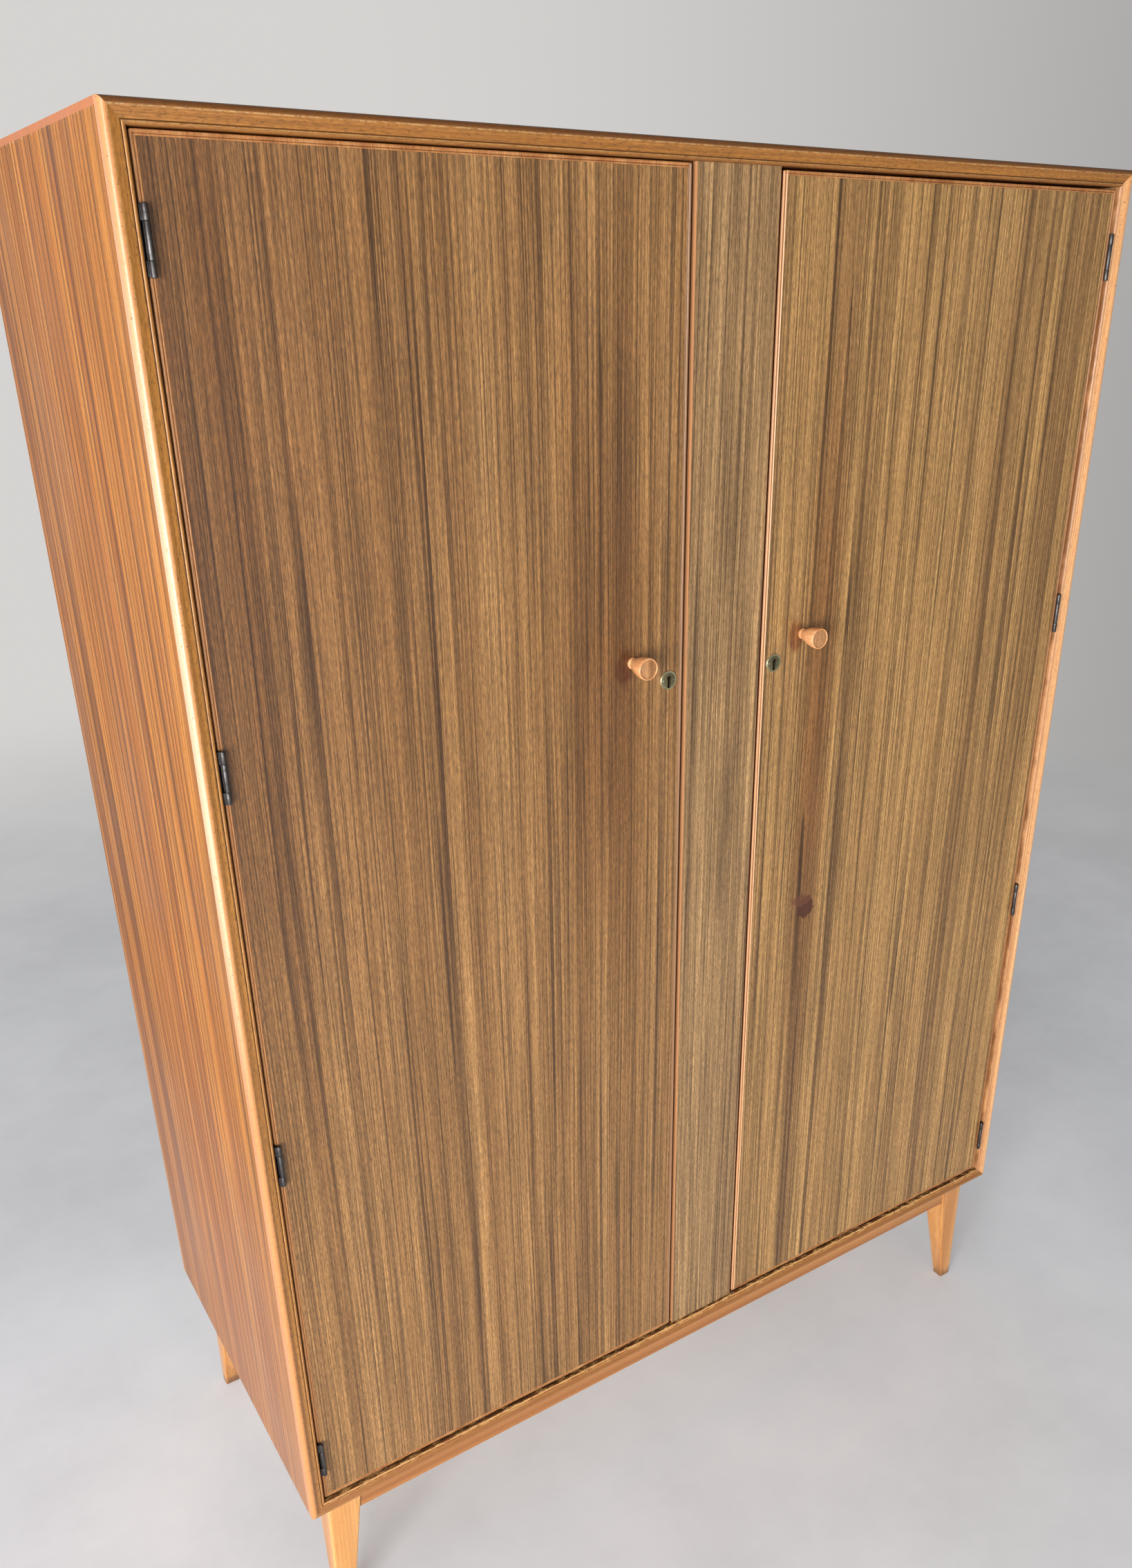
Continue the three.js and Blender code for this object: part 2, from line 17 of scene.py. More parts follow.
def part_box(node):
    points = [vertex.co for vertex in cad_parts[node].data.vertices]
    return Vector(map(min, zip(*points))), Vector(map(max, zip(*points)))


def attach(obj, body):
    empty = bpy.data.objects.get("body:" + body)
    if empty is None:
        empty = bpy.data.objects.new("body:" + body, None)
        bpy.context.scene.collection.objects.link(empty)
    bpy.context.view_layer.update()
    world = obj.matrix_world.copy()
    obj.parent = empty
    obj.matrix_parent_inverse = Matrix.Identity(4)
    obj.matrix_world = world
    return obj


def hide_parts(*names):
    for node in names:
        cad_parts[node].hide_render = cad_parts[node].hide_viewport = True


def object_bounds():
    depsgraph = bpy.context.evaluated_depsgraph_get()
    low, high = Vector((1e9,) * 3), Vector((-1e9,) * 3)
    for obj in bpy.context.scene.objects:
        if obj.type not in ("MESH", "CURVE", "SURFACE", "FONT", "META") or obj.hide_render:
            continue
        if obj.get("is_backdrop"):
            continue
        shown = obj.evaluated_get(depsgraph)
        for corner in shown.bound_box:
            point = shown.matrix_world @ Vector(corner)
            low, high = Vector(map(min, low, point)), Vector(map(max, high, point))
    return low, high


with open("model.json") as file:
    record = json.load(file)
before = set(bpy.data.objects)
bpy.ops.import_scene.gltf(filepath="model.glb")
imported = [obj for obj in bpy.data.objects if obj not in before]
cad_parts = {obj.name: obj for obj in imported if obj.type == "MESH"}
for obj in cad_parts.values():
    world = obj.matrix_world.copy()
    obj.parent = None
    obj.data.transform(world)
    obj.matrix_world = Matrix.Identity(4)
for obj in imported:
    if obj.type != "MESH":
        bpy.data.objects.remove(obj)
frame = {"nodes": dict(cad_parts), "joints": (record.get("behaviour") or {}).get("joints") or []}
cad_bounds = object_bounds()

# ---- dimensions, millimetres ----

FRAME_WIDTH = 19
FRAME_PROUD = 5
FRAME_BACK = 8
MITRE_GAP = 0.06
RAIL_STEP = 4
# The frame's inner bead, across its section, and the size of the dents worn into it.
BEAD_MIDDLE = 17
BEAD_REACH = 2
DENT_LENGTH = 9
DENT_BREADTH = 4
DENT_SEED = 3.7

DOOR_FRONT = 2.5
DOOR_THICKNESS = 20
LIPPING = 4.75
LIPPING_PROUD = 0.4
LIPPING_CORNER = 1.6
# The deepest point of the lipping's groove, as (inwards from the door's edge, back from the front).
LIPPING_GROOVE = (3, DOOR_FRONT + 0.7)
LEAF_RECESS = 1.3
RECESS_ROOM = 0.3
CUT_BEYOND = 1

HINGES = range(1, 5)
HINGE_RADIUS = 2.5
HINGE_KNUCKLE = 12
HINGE_AXIS_Y = -2.5
BORE_GAP = 0.15
DOOR_GAP = 2
FIXED_LEAF_GAP = 0.3
LEAF_THICKNESS = 1
LEAF_FRONT = 3.25
LEAF_BACK = 20
HINGE_SCREW_INSET = 9
HINGE_SCREW_Y = 9.5
HINGE_SCREW_STAGGER = 4
SCREW_RADIUS = {"hinge": 2.6, "strike": 2.2, "lock": 2.4}
# How each screw's slot is turned from the one before, in degrees.
SCREW_TURN = 37
FIRST_SCREW_TURN = 11

KNOB_LENGTH = 32
KNOB_RADIUS = 12.5
INLAY_RADIUS = 10.5
ESCUTCHEON_RADIUS = 11
KEYHOLE_RADIUS = 2.7
KEYHOLE_SLOT = 3.9
KEYHOLE_HEIGHT = 14.4
KEYHOLE_CUT = 6
PLATE_PIN_OFFSET = 7
PLATE_PIN_SEAT = 1.5

LEG_HEIGHT = 225.5
LEG_CORNER = 3.5
FOOT_CHAMFER = 1

RAIL_CHAMFER = 0.8
SOCKET_ROOM = 0.4
NAIL_PITCH = 150
NAIL_INSET = 5

SIDES = {"left": -1, "right": 1}


def millimetres(corner):
    """A point of the CAD frame, as millimetres from the carcass."""
    return Vector((corner.x, corner.y - FRONT_PLANE, corner.z - UNDERSIDE)) * 1000


def metres(point):
    """A point in millimetres from the carcass, in the CAD frame."""
    return Vector(point) / 1000 + Vector((0, FRONT_PLANE, UNDERSIDE))


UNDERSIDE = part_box("side_left")[0].z
FRONT_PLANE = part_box("moulding_left")[0].y + FRAME_PROUD / 1000


def node_box(name):
    """A CAD node's lowest and highest corners, in millimetres from the carcass."""
    low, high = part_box(name)
    return millimetres(low), millimetres(high)


HALF_WIDTH = node_box("side_right")[1].x
HEIGHT = node_box("side_right")[1].z
DEPTH = node_box("side_right")[1].y

# ---- mesh building ----


class Shape:
    """A mesh being drawn, in millimetres from the carcass."""

    def __init__(self):
        self.points = []
        self.faces = []
        self.marks = []

    def add(self, points, faces, marks=None):
        start = len(self.points)
        self.points += [Vector(p) for p in points]
        self.faces += [tuple(start + i for i in face) for face in faces]
        self.marks += list(marks) if marks else [0] * len(points)
        return self

    def merge(self, other, matrix=Matrix()):
        return self.add([matrix @ p for p in other.points], other.faces, other.marks)


def rings(loops, close_ends=True, marks=None):
    """A skin over equal closed loops of points, one after another."""
    shape = Shape()
    count = len(loops[0])
    points = [p for loop in loops for p in loop]
    faces = []
    for i in range(len(loops) - 1):
        for j in range(count):
            k = (j + 1) % count
            faces.append((i * count + j, i * count + k, (i + 1) * count + k, (i + 1) * count + j))
    if close_ends:
        faces.append(tuple(reversed(range(count))))
        faces.append(tuple((len(loops) - 1) * count + j for j in range(count)))
    return shape.add(points, faces, marks)


def lathe(profile, segments=64):
    """A turned solid about +Z: profile lists (radius, height), from one end's middle to the other's."""
    turn = [math.tau * j / segments for j in range(segments)]
    return rings([[(r * math.cos(a), r * math.sin(a), height) for a in turn] for r, height in profile])


def bevelled_box(low, high, ease):
    """A box with chamfered edges."""
    bm = bmesh.new()
    bmesh.ops.create_cube(bm, size=1)
    size = Vector(high) - Vector(low)
    middle = (Vector(high) + Vector(low)) / 2
    for v in bm.verts:
        v.co = Vector(a * b for a, b in zip(v.co, size)) + middle
    bmesh.ops.bevel(bm, geom=bm.edges[:], offset=ease, segments=2, affect="EDGES", profile=0.5)
    bm.verts.index_update()
    shape = Shape().add([v.co.copy() for v in bm.verts], [[v.index for v in f.verts] for f in bm.faces])
    bm.free()
    return shape


def curve(outline, pull_a, pull_b, end, steps, start=None):
    """Carries an outline on along a cubic curve, from its last point or another start."""
    points = (start or outline[-1], pull_a, pull_b, end)
    for i in range(1, steps + 1):
        t = i / steps
        s = 1 - t
        weights = (s ** 3, 3 * s * s * t, 3 * s * t * t, t ** 3)
        outline.append(tuple(sum(w * p[k] for w, p in zip(weights, points)) for k in (0, 1)))


def turned(degrees, axis):
    return Matrix.Rotation(math.radians(degrees), 4, axis)


def to_mesh(name, shape, sharp_angle=35):
    """The shape as a Blender mesh in metres, smooth except across sharp edges."""
    mesh = bpy.data.meshes.new(name)
    mesh.from_pydata([metres(p) for p in shape.points], [], shape.faces)
    attribute = mesh.attributes.new("mark", "FLOAT", "POINT")
    attribute.data.foreach_set("value", shape.marks)
    clean(mesh, sharp_angle)
    return mesh


def clean(mesh, sharp_angle):
    """Joins doubled points, turns faces outwards and keeps only the sharp edges sharp."""
    bm = bmesh.new()
    bm.from_mesh(mesh)
    bmesh.ops.remove_doubles(bm, verts=bm.verts[:], dist=1e-6)
    bmesh.ops.recalc_face_normals(bm, faces=bm.faces[:])
    for face in bm.faces:
        face.smooth = True
    for edge in bm.edges:
        edge.smooth = edge.calc_face_angle(math.pi) < math.radians(sharp_angle)
    bm.to_mesh(mesh)
    bm.free()


def new_object(name, mesh):
    obj = bpy.data.objects.new(name, mesh)
    bpy.context.scene.collection.objects.link(obj)
    return obj


def add_piece(name, shape, body, material, replaces=(), cutters=(), sharp_angle=35):
    """A finished piece that rides on a body, with any cutters taken out of it."""
    obj = new_object(name, to_mesh(name, shape, sharp_angle))
    if cutters:
        cut(obj, cutters, sharp_angle)
    obj.data.materials.append(MATERIALS[material])
    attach(obj, body)
    if replaces:
        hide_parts(*replaces)
    return obj


def cut(obj, cutters, sharp_angle):
    """Takes the cutter shapes out of an object's mesh."""
    merged = Shape()
    for cutter in cutters:
        merged.merge(cutter)
    tool = new_object(obj.name + "_cutter", to_mesh(obj.name + "_cutter", merged))
    modifier = obj.modifiers.new("cut", "BOOLEAN")
    modifier.operation = "DIFFERENCE"
    modifier.solver = "EXACT"
    modifier.object = tool
    depsgraph = bpy.context.evaluated_depsgraph_get()
    result = bpy.data.meshes.new_from_object(obj.evaluated_get(depsgraph))
    obj.modifiers.clear()
    obj.data = result
    bpy.data.objects.remove(tool)
    clean(result, sharp_angle)


# ---- shader building ----


def colour(code):
    """A linear colour from sRGB red, green and blue, 0 to 255."""
    channels = [c / 255 for c in code]
    return [c / 12.92 if c <= 0.04045 else ((c + 0.055) / 1.055) ** 2.4 for c in channels] + [1]


def grey(value):
    return [value, value, value, 1]


class Nodes:
    """A node tree being built. Each method adds a node and gives back its output socket."""

    def __init__(self, tree):
        self.tree = tree

    def node(self, kind, inputs, **settings):
        node = self.tree.nodes.new("ShaderNode" + kind)
        for key, value in settings.items():
            setattr(node, key, value)
        for key, value in inputs.items():
            self.feed(node.inputs[key], value)
        return node

    def feed(self, socket, value):
        if isinstance(value, bpy.types.NodeSocket):
            self.tree.links.new(value, socket)
        else:
            socket.default_value = value

    def axes(self, vector):
        split = self.node("SeparateXYZ", {"Vector": vector})
        return {"x": split.outputs["X"], "y": split.outputs["Y"], "z": split.outputs["Z"]}

    def vector(self, x, y, z):
        return self.node("CombineXYZ", {"X": x, "Y": y, "Z": z}).outputs["Vector"]

    def noise(self, vector, scale, detail=2, roughness=0.5):
        """Noise at a scale per metre along each axis."""
        spread = self.node("VectorMath", {0: vector, 1: scale}, operation="MULTIPLY").outputs[0]
        inputs = {"Vector": spread, "Scale": 1, "Detail": detail, "Roughness": roughness}
        return self.node("TexNoise", inputs).outputs["Fac"]

    def math(self, operation, a, b=0, clamp=False):
        return self.node("Math", {0: a, 1: b}, operation=operation, use_clamp=clamp).outputs[0]

    def times(self, a, b):
        return self.math("MULTIPLY", a, b)

    def plus(self, a, b):
        return self.math("ADD", a, b)

    def minus(self, a, b, clamp=False):
        return self.math("SUBTRACT", a, b, clamp)

    def away(self, a, b):
        """How far one value is from another, either way."""
        return self.math("ABSOLUTE", self.minus(a, b))

    def span(self, value, low, high, to_low=0, to_high=1):
        """A value's smooth course from one range to another, held at its ends."""
        inputs = {"Value": value, "From Min": low, "From Max": high, "To Min": to_low, "To Max": to_high}
        return self.node("MapRange", inputs, interpolation_type="SMOOTHSTEP").outputs["Result"]

    def ramp(self, value, stops):
        node = self.node("ValToRGB", {"Fac": value})
        elements = node.color_ramp.elements
        while len(elements) < len(stops):
            elements.new(0.5)
        for element, (place, tone) in zip(elements, stops):
            element.position = place
            element.color = tone
        return node.outputs["Color"]

    def mix(self, factor, a, b, blend="MIX"):
        node = self.node("Mix", {}, data_type="RGBA", blend_type=blend)
        self.feed(node.inputs[0], factor)
        self.feed(node.inputs[6], a)
        self.feed(node.inputs[7], b)
        return node.outputs[2]


class Shader(Nodes):
    """A material being built on one Principled surface."""

    def __init__(self, name):
        self.material = bpy.data.materials.new(name)
        self.material.use_nodes = True
        super().__init__(self.material.node_tree)
        self.surface = self.tree.nodes["Principled BSDF"]

    def place(self):
        return self.node("TexCoord", {}).outputs["Object"]

    def mark(self):
        """The number that a piece's mesh carries at each point."""
        return self.node("Attribute", {}, attribute_name="mark").outputs["Fac"]

    def grit(self, place, scale, detail=2, roughness=0.5):
        """Noise over a place given as its axes."""
        return self.noise(self.vector(*place.values()), scale, detail, roughness)

    def bump(self, height, distance, strength=1):
        inputs = {"Height": height, "Distance": distance, "Strength": strength}
        self.feed(self.surface.inputs["Normal"], self.node("Bump", inputs).outputs["Normal"])

    def finish(self, **values):
        names = {"base": "Base Color", "rough": "Roughness", "metal": "Metallic", "coat": "Coat Weight",
                 "coat_rough": "Coat Roughness", "specular": "Specular IOR Level"}
        for key, value in values.items():
            self.feed(self.surface.inputs[names[key]], value)
        return self.material


# ---- wood ----

# Tones are sRGB. band, ring, vein, fine, dash and pores are counts per metre across the grain, and
# each depth is how strongly its pattern shows. ring_floor is how strongly the faintest ring shows.
PLAIN_WOOD = dict(
    ring_vary=8, ring_depth=0.25, ring_floor=0.2, vein=90, vein_depth=0.15, fine_depth=0.35, dash=640,
    dash_depth=0.3, pores=1500, pore_depth=0.35, rough=0.36, specular=0.5, coat=0)
TONES = ("light", "base", "dark", "line", "pore")


def look_from(parent, *tones, **patterns):
    """A wood's look, as changes to another's. tones are the first few of TONES."""
    return parent | dict(zip(TONES, tones)) | patterns


DOOR_LOOK = look_from(
    PLAIN_WOOD, (178, 133, 82), (156, 113, 66), (134, 94, 55), (58, 36, 21), (60, 40, 24), band=28,
    ring=140, ring_depth=0.9, vein=110, vein_depth=0.9, fine=640, fine_depth=0.85, dash=1000,
    dash_depth=0.6, pores=1700, pore_depth=0.45, rough=0.46)
GOLDEN_DOOR_LOOK = look_from(DOOR_LOOK, (196, 152, 94), (174, 132, 80), (150, 111, 68), ring=120)
PILASTER_LOOK = look_from(
    DOOR_LOOK, (180, 143, 97), (166, 130, 87), (150, 116, 77), ring=190, vein=150, vein_depth=0.85,
    fine=420)
SIDE_LOOK = look_from(
    PLAIN_WOOD, (204, 132, 52), (175, 104, 34), (140, 78, 25), (62, 32, 16), (100, 54, 28), band=24,
    ring=48, ring_vary=5, ring_depth=0.95, ring_floor=0.6, vein_depth=0.85, fine=320, fine_depth=0.75,
    dash=600, dash_depth=0.25, pore_depth=0.25, rough=0.48, specular=0.32, coat=0.05)
MOULDING_LOOK = look_from(
    PLAIN_WOOD, (194, 134, 62), (172, 112, 46), (142, 88, 34), (104, 62, 24), (82, 46, 18), band=60,
    ring=240, ring_vary=4, ring_depth=0.3, vein=160, vein_depth=0.2, fine=700, pores=1100, pore_depth=0.5,
    coat=0.25)
# The rails are all one wood: the top rail's darker look is painted shade and the right rail's paler look is
# painted light.
SHADED_TOP_RAIL_LOOK = look_from(MOULDING_LOOK, (176, 118, 54), (150, 96, 40), (120, 72, 30), coat=0.15)
BOTTOM_RAIL_LOOK = look_from(MOULDING_LOOK, (202, 138, 62), (182, 115, 44), (152, 90, 32))
LIT_RIGHT_RAIL_LOOK = look_from(MOULDING_LOOK, (240, 188, 134), (226, 164, 108), (194, 130, 78), pore_depth=0.2)
LIPPING_LOOK = look_from(
    PLAIN_WOOD, (198, 142, 88), (178, 118, 68), (146, 92, 50), (108, 64, 34), (96, 56, 32), band=50,
    ring=300, ring_vary=4, ring_depth=0.2, vein=200, fine=800, pores=1300, rough=0.38, coat=0.2)
LEG_LOOK = look_from(
    PLAIN_WOOD, (228, 168, 100), (212, 147, 80), (188, 122, 60), (148, 92, 44), (120, 70, 34), band=40,
    ring=150, fine=600, fine_depth=0.25, dash_depth=0.12, pores=1200, pore_depth=0.12, rough=0.34,
    coat=0.2)
APRON_LOOK = look_from(LEG_LOOK, (206, 146, 82), (186, 124, 64), (160, 100, 48))
KNOB_LOOK = look_from(
    PLAIN_WOOD, (238, 182, 128), (226, 162, 108), (206, 138, 86), (176, 108, 62), (150, 92, 56), band=80,
    ring=420, ring_vary=3, vein=300, fine=900, fine_depth=0.25, dash_depth=0.25, coat=0.15)
INLAY_LOOK = look_from(
    PLAIN_WOOD, (204, 150, 98), (180, 126, 80), (144, 98, 60), (104, 68, 40), (84, 52, 32), band=90,
    ring=520, ring_vary=2, ring_depth=0.6, vein=400, vein_depth=0.3, fine=1400, fine_depth=0.5,
    pores=2200, pore_depth=0.5, rough=0.45, coat=0.05)
INNER_LOOK = look_from(
    PLAIN_WOOD, (216, 184, 138), (198, 160, 112), (172, 132, 88), (132, 96, 60), (116, 84, 54), band=20,
    ring=120, ring_depth=0.4, vein=60, vein_depth=0.2, fine=480, dash_depth=0.25, pores=1200, rough=0.55)
PLY_LOOK = look_from(
    PLAIN_WOOD, (196, 158, 112), (178, 138, 92), (150, 112, 72), (118, 84, 52), (104, 74, 48), band=8,
    ring=34, ring_vary=12, ring_depth=0.45, vein=30, vein_depth=0.3, fine=360, fine_depth=0.4, pores=900,
    pore_depth=0.4, rough=0.7)
# One growth ring's darkness, from its pale early wood to its dark late wood.
RING_PROFILE = [(0, 0.1), (0.5, 0.25), (0.86, 0.7), (0.94, 1), (0.985, 0.85), (1, 0.1)]
PALE_WEAR = (236, 200, 160)
GRAIN_RELIEF = 0.00008


def thin_line(s, value, centre, width):
    """1 where a value crosses a level, fading to 0 within a width either side."""
    return s.minus(1, s.math("DIVIDE", s.away(value, centre), width), clamp=True)


def wood(name, look, grain="xyz", shift=0, overlays=(), worn=0):
    """Straight-grained wood. grain names the CAD axes that run across, into and along the grain."""
    s = Shader(name)
    place = s.axes(s.place())
    across, depth, along = (place[a] for a in grain)
    across = s.plus(across, shift)
    plank = s.vector(across, depth, along)

    wander = s.noise(plank, (2.5, 2.5, 0.7), detail=1)
    bent = s.plus(across, s.times(s.minus(wander, 0.5), 0.03))
    grained = s.vector(bent, depth, along)

    def lengthways(scale, along_scale, detail=1, roughness=0.5):
        return s.noise(grained, (scale, scale, along_scale), detail, roughness)

    band = lengthways(look["band"], 0.22, 3, 0.65)
    base = s.ramp(band, [(0.3, colour(look["dark"])), (0.47, colour(look["base"])),
                         (0.66, colour(look["light"]))])

    spacing = lengthways(look["ring"] / 3, 0.2)
    count = s.plus(s.times(bent, look["ring"]), s.times(spacing, look["ring_vary"]))
    profile = s.ramp(s.math("FRACT", count), [(spot, grey(v)) for spot, v in RING_PROFILE])
    strength = s.span(lengthways(look["ring"], 1.2), 0.3, 0.65, look["ring_floor"], look["ring_depth"])
    ring = s.times(profile, strength)
    vein = s.times(thin_line(s, lengthways(look["vein"], 0.2), 0.5, 0.05),
                   s.span(lengthways(look["vein"] * 0.8, 1.5), 0.35, 0.6, 0.1, look["vein_depth"]))
    base = s.mix(s.math("MAXIMUM", ring, vein), base, colour(look["line"]))

    fine = lengthways(look["fine"], 5, 3, 0.65)
    fine_tone = s.ramp(fine, [(0.3, grey(0.2)), (0.5, grey(0.5)), (0.7, grey(0.8))])
    base = s.mix(look["fine_depth"], base, fine_tone, "OVERLAY")
    dash = lengthways(look["dash"], 120, 2, 0.8)
    dash_tone = s.ramp(dash, [(0.32, grey(0.22)), (0.5, grey(0.5)), (0.68, grey(0.8))])
    base = s.mix(look["dash_depth"], base, dash_tone, "OVERLAY")

    pores = s.span(lengthways(look["pores"], 160), 0.56, 0.7)
    base = s.mix(s.times(pores, look["pore_depth"]), base, colour(look["pore"]))

    for overlay in overlays:
        base = overlay(s, place, base)
    if worn:
        rub = s.noise(plank, (90, 90, 30), detail=3, roughness=0.7)
        base = s.mix(s.times(s.span(rub, 0.4, 0.65), worn), base, colour(PALE_WEAR))

    sheen = s.noise(plank, (6, 6, 4), detail=3, roughness=0.6)
    rough = s.plus(s.span(sheen, 0.3, 0.7, look["rough"] - 0.06, look["rough"] + 0.1),
                   s.times(pores, 0.15))
    s.bump(s.minus(s.times(fine, 0.4), pores), GRAIN_RELIEF, 0.6)
    return s.finish(base=base, rough=rough, coat=look["coat"], coat_rough=0.2,
                    specular=look["specular"])


# ---- metals ----

TARNISH_SCALE = 220
PIT_SCALE = 2600
PIT_RELIEF = 0.00003


def metal(name, bright, dull, rough, pitting=0.3, overlays=()):
    """Aged metal with patchy tarnish and fine pitting."""
    s = Shader(name)
    place = s.place()
    tarnish = s.noise(place, (TARNISH_SCALE,) * 3, detail=4, roughness=0.65)
    pits = s.noise(place, (PIT_SCALE,) * 3, detail=2)
    tone = s.ramp(tarnish, [(0.35, colour(dull)), (0.62, colour(bright))])
    roughness = s.plus(s.span(tarnish, 0.3, 0.7, rough + 0.12, rough - 0.05), s.times(pits, 0.08))
    for overlay in overlays:
        tone = overlay(s, s.axes(place), tone)
    s.bump(pits, PIT_RELIEF, pitting)
    return s.finish(base=tone, rough=roughness, metal=1)


# ---- overlays: what time and use did to particular places, and painted light and shade ----

# Tones for wear and dirt, and also for painted light and shade: the floor reflection low on the sides, shade
# in the quirks, hollow and inner bead edge, dirt and shade on the inner bead, highlights on the left rail
# and the bottom bead, and the plates' dim middle.
WEAR_CODES = {
    "pale_chip": (240, 214, 184), "sheen": (168, 126, 104), "board": (214, 182, 136),
    "painted_highlight": (250, 220, 188), "quirk_shade": (72, 40, 16), "bead_dirt_and_shade": (112, 66, 28),
    "rub": (236, 196, 140), "fleck": (98, 58, 22), "hollow_shade": (140, 90, 44),
    "bead_highlight": (236, 186, 124), "inner_edge_shade": (58, 32, 14), "scrape": (226, 178, 112),
    "dark_chip": (122, 70, 30), "groove": (88, 54, 32), "plate_middle": (128, 120, 84),
    "foot_dirt": (96, 60, 34),
}
WEAR = {name: colour(code) for name, code in WEAR_CODES.items()}


def near(s, place, centre, reach):
    """1 at a point on the doors' front, fading to 0 at its reach. centre and reach list x and z in
    millimetres."""
    spot = metres((centre[0], 0, centre[1]))
    dx = s.math("DIVIDE", s.minus(place["x"], spot.x), reach[0] / 1000)
    dz = s.math("DIVIDE", s.minus(place["z"], spot.z), reach[1] / 1000)
    square = s.plus(s.times(dx, dx), s.times(dz, dz))
    front = s.math("LESS_THAN", place["y"], metres((0, DOOR_FRONT + 2, 0)).y)
    return s.times(front, s.minus(1, s.math("SQRT", square), clamp=True))


def patch(centre, reach, tone, strength, raggedness=0.5, blend="MULTIPLY", fade=0.5):
    """A patch ragged at its edge, for stains and rubbed places, and for painted shade on the doors and
    behind the keyholes.
    """

    def overlay(s, place, base):
        reach_in = near(s, place, centre, reach)
        rag = s.grit(place, (120, 120, 60), 3)
        edge = s.plus(reach_in, s.times(s.minus(rag, 0.5), raggedness))
        edge = s.times(edge, s.math("GREATER_THAN", reach_in, 0))
        return s.mix(s.span(edge, 0.12, 0.12 + fade, 0, strength), base, colour(tone), blend)

    return overlay


def block(spans, tone, grain_depth=0.35):
    """Another wood, or another tone, where each axis named is inside its span of millimetres."""

    def overlay(s, place, base):
        origin = metres((0, 0, 0))
        inside = 1
        for axis, span in spans.items():
            low, high = (v / 1000 + getattr(origin, axis) for v in sorted(span))
            inside = s.times(inside, s.math("GREATER_THAN", place[axis], low))
            inside = s.times(inside, s.math("LESS_THAN", place[axis], high))
        return s.mix(inside, base, s.mix(grain_depth, colour(tone), base, "MULTIPLY"))

    return overlay


def chips_under_top(s, place, base):
    """Tiny pale chips under the lipping along a side's top edge."""
    line = metres((0, 0, HEIGHT - 7)).z
    close = s.minus(1, s.times(s.away(place["z"], line), 700), clamp=True)
    speck = s.grit(place, (300, 300, 500))
    return s.mix(s.times(close, s.span(speck, 0.64, 0.7)), base, WEAR["pale_chip"])


def painted_floor_reflection(s, place, base):
    """Painted reflection of the pale floor: a side turning greyish towards the floor."""
    level = s.minus(place["z"], UNDERSIDE)
    return s.mix(s.span(level, 0, 0.65, 0.42, 0), base, WEAR["sheen"])


def inner_face(s, place, base):
    """The pale board on a side's inner face."""
    inner = metres((HALF_WIDTH - FRAME_WIDTH + 1, 0, 0)).x
    inside = s.math("LESS_THAN", s.math("ABSOLUTE", place["x"]), inner)
    return s.mix(inside, base, s.mix(0.55, base, WEAR["board"]))


def heavy_wear_and_painted_light(s, place, base, mark, rag):
    """Painted shade in the hollow and on the bead's inner edge, a painted highlight along the bead, and
    scrapes and chips towards the right.
    """
    # Painted shade in the hollow, a painted highlight along the bead and painted shade on its inner edge.
    base = s.mix(s.span(mark, 0.6, 0.76, 0.6, 0), base, WEAR["hollow_shade"])
    bead = s.times(thin_line(s, mark, 0.87, 0.08), 0.75)
    base = s.mix(bead, base, WEAR["bead_highlight"])
    base = s.mix(s.span(mark, 0.94, 0.98, 0, 0.9), base, WEAR["inner_edge_shade"])
    rightwards = s.span(place["x"], -0.35, 0.3, 0.65, 1)
    spoilt = s.grit(place, (70, 300, 300), 4, 0.8)
    inside = s.span(mark, 0.5, 0.8)
    scrape = s.times(inside, s.span(spoilt, 0.5, 0.58, 0, 0.8))
    base = s.mix(s.times(scrape, rightwards), base, WEAR["scrape"])
    chip = s.times(inside, s.span(rag, 0.56, 0.62, 0, 0.95))
    return s.mix(s.times(chip, rightwards), base, WEAR["dark_chip"])


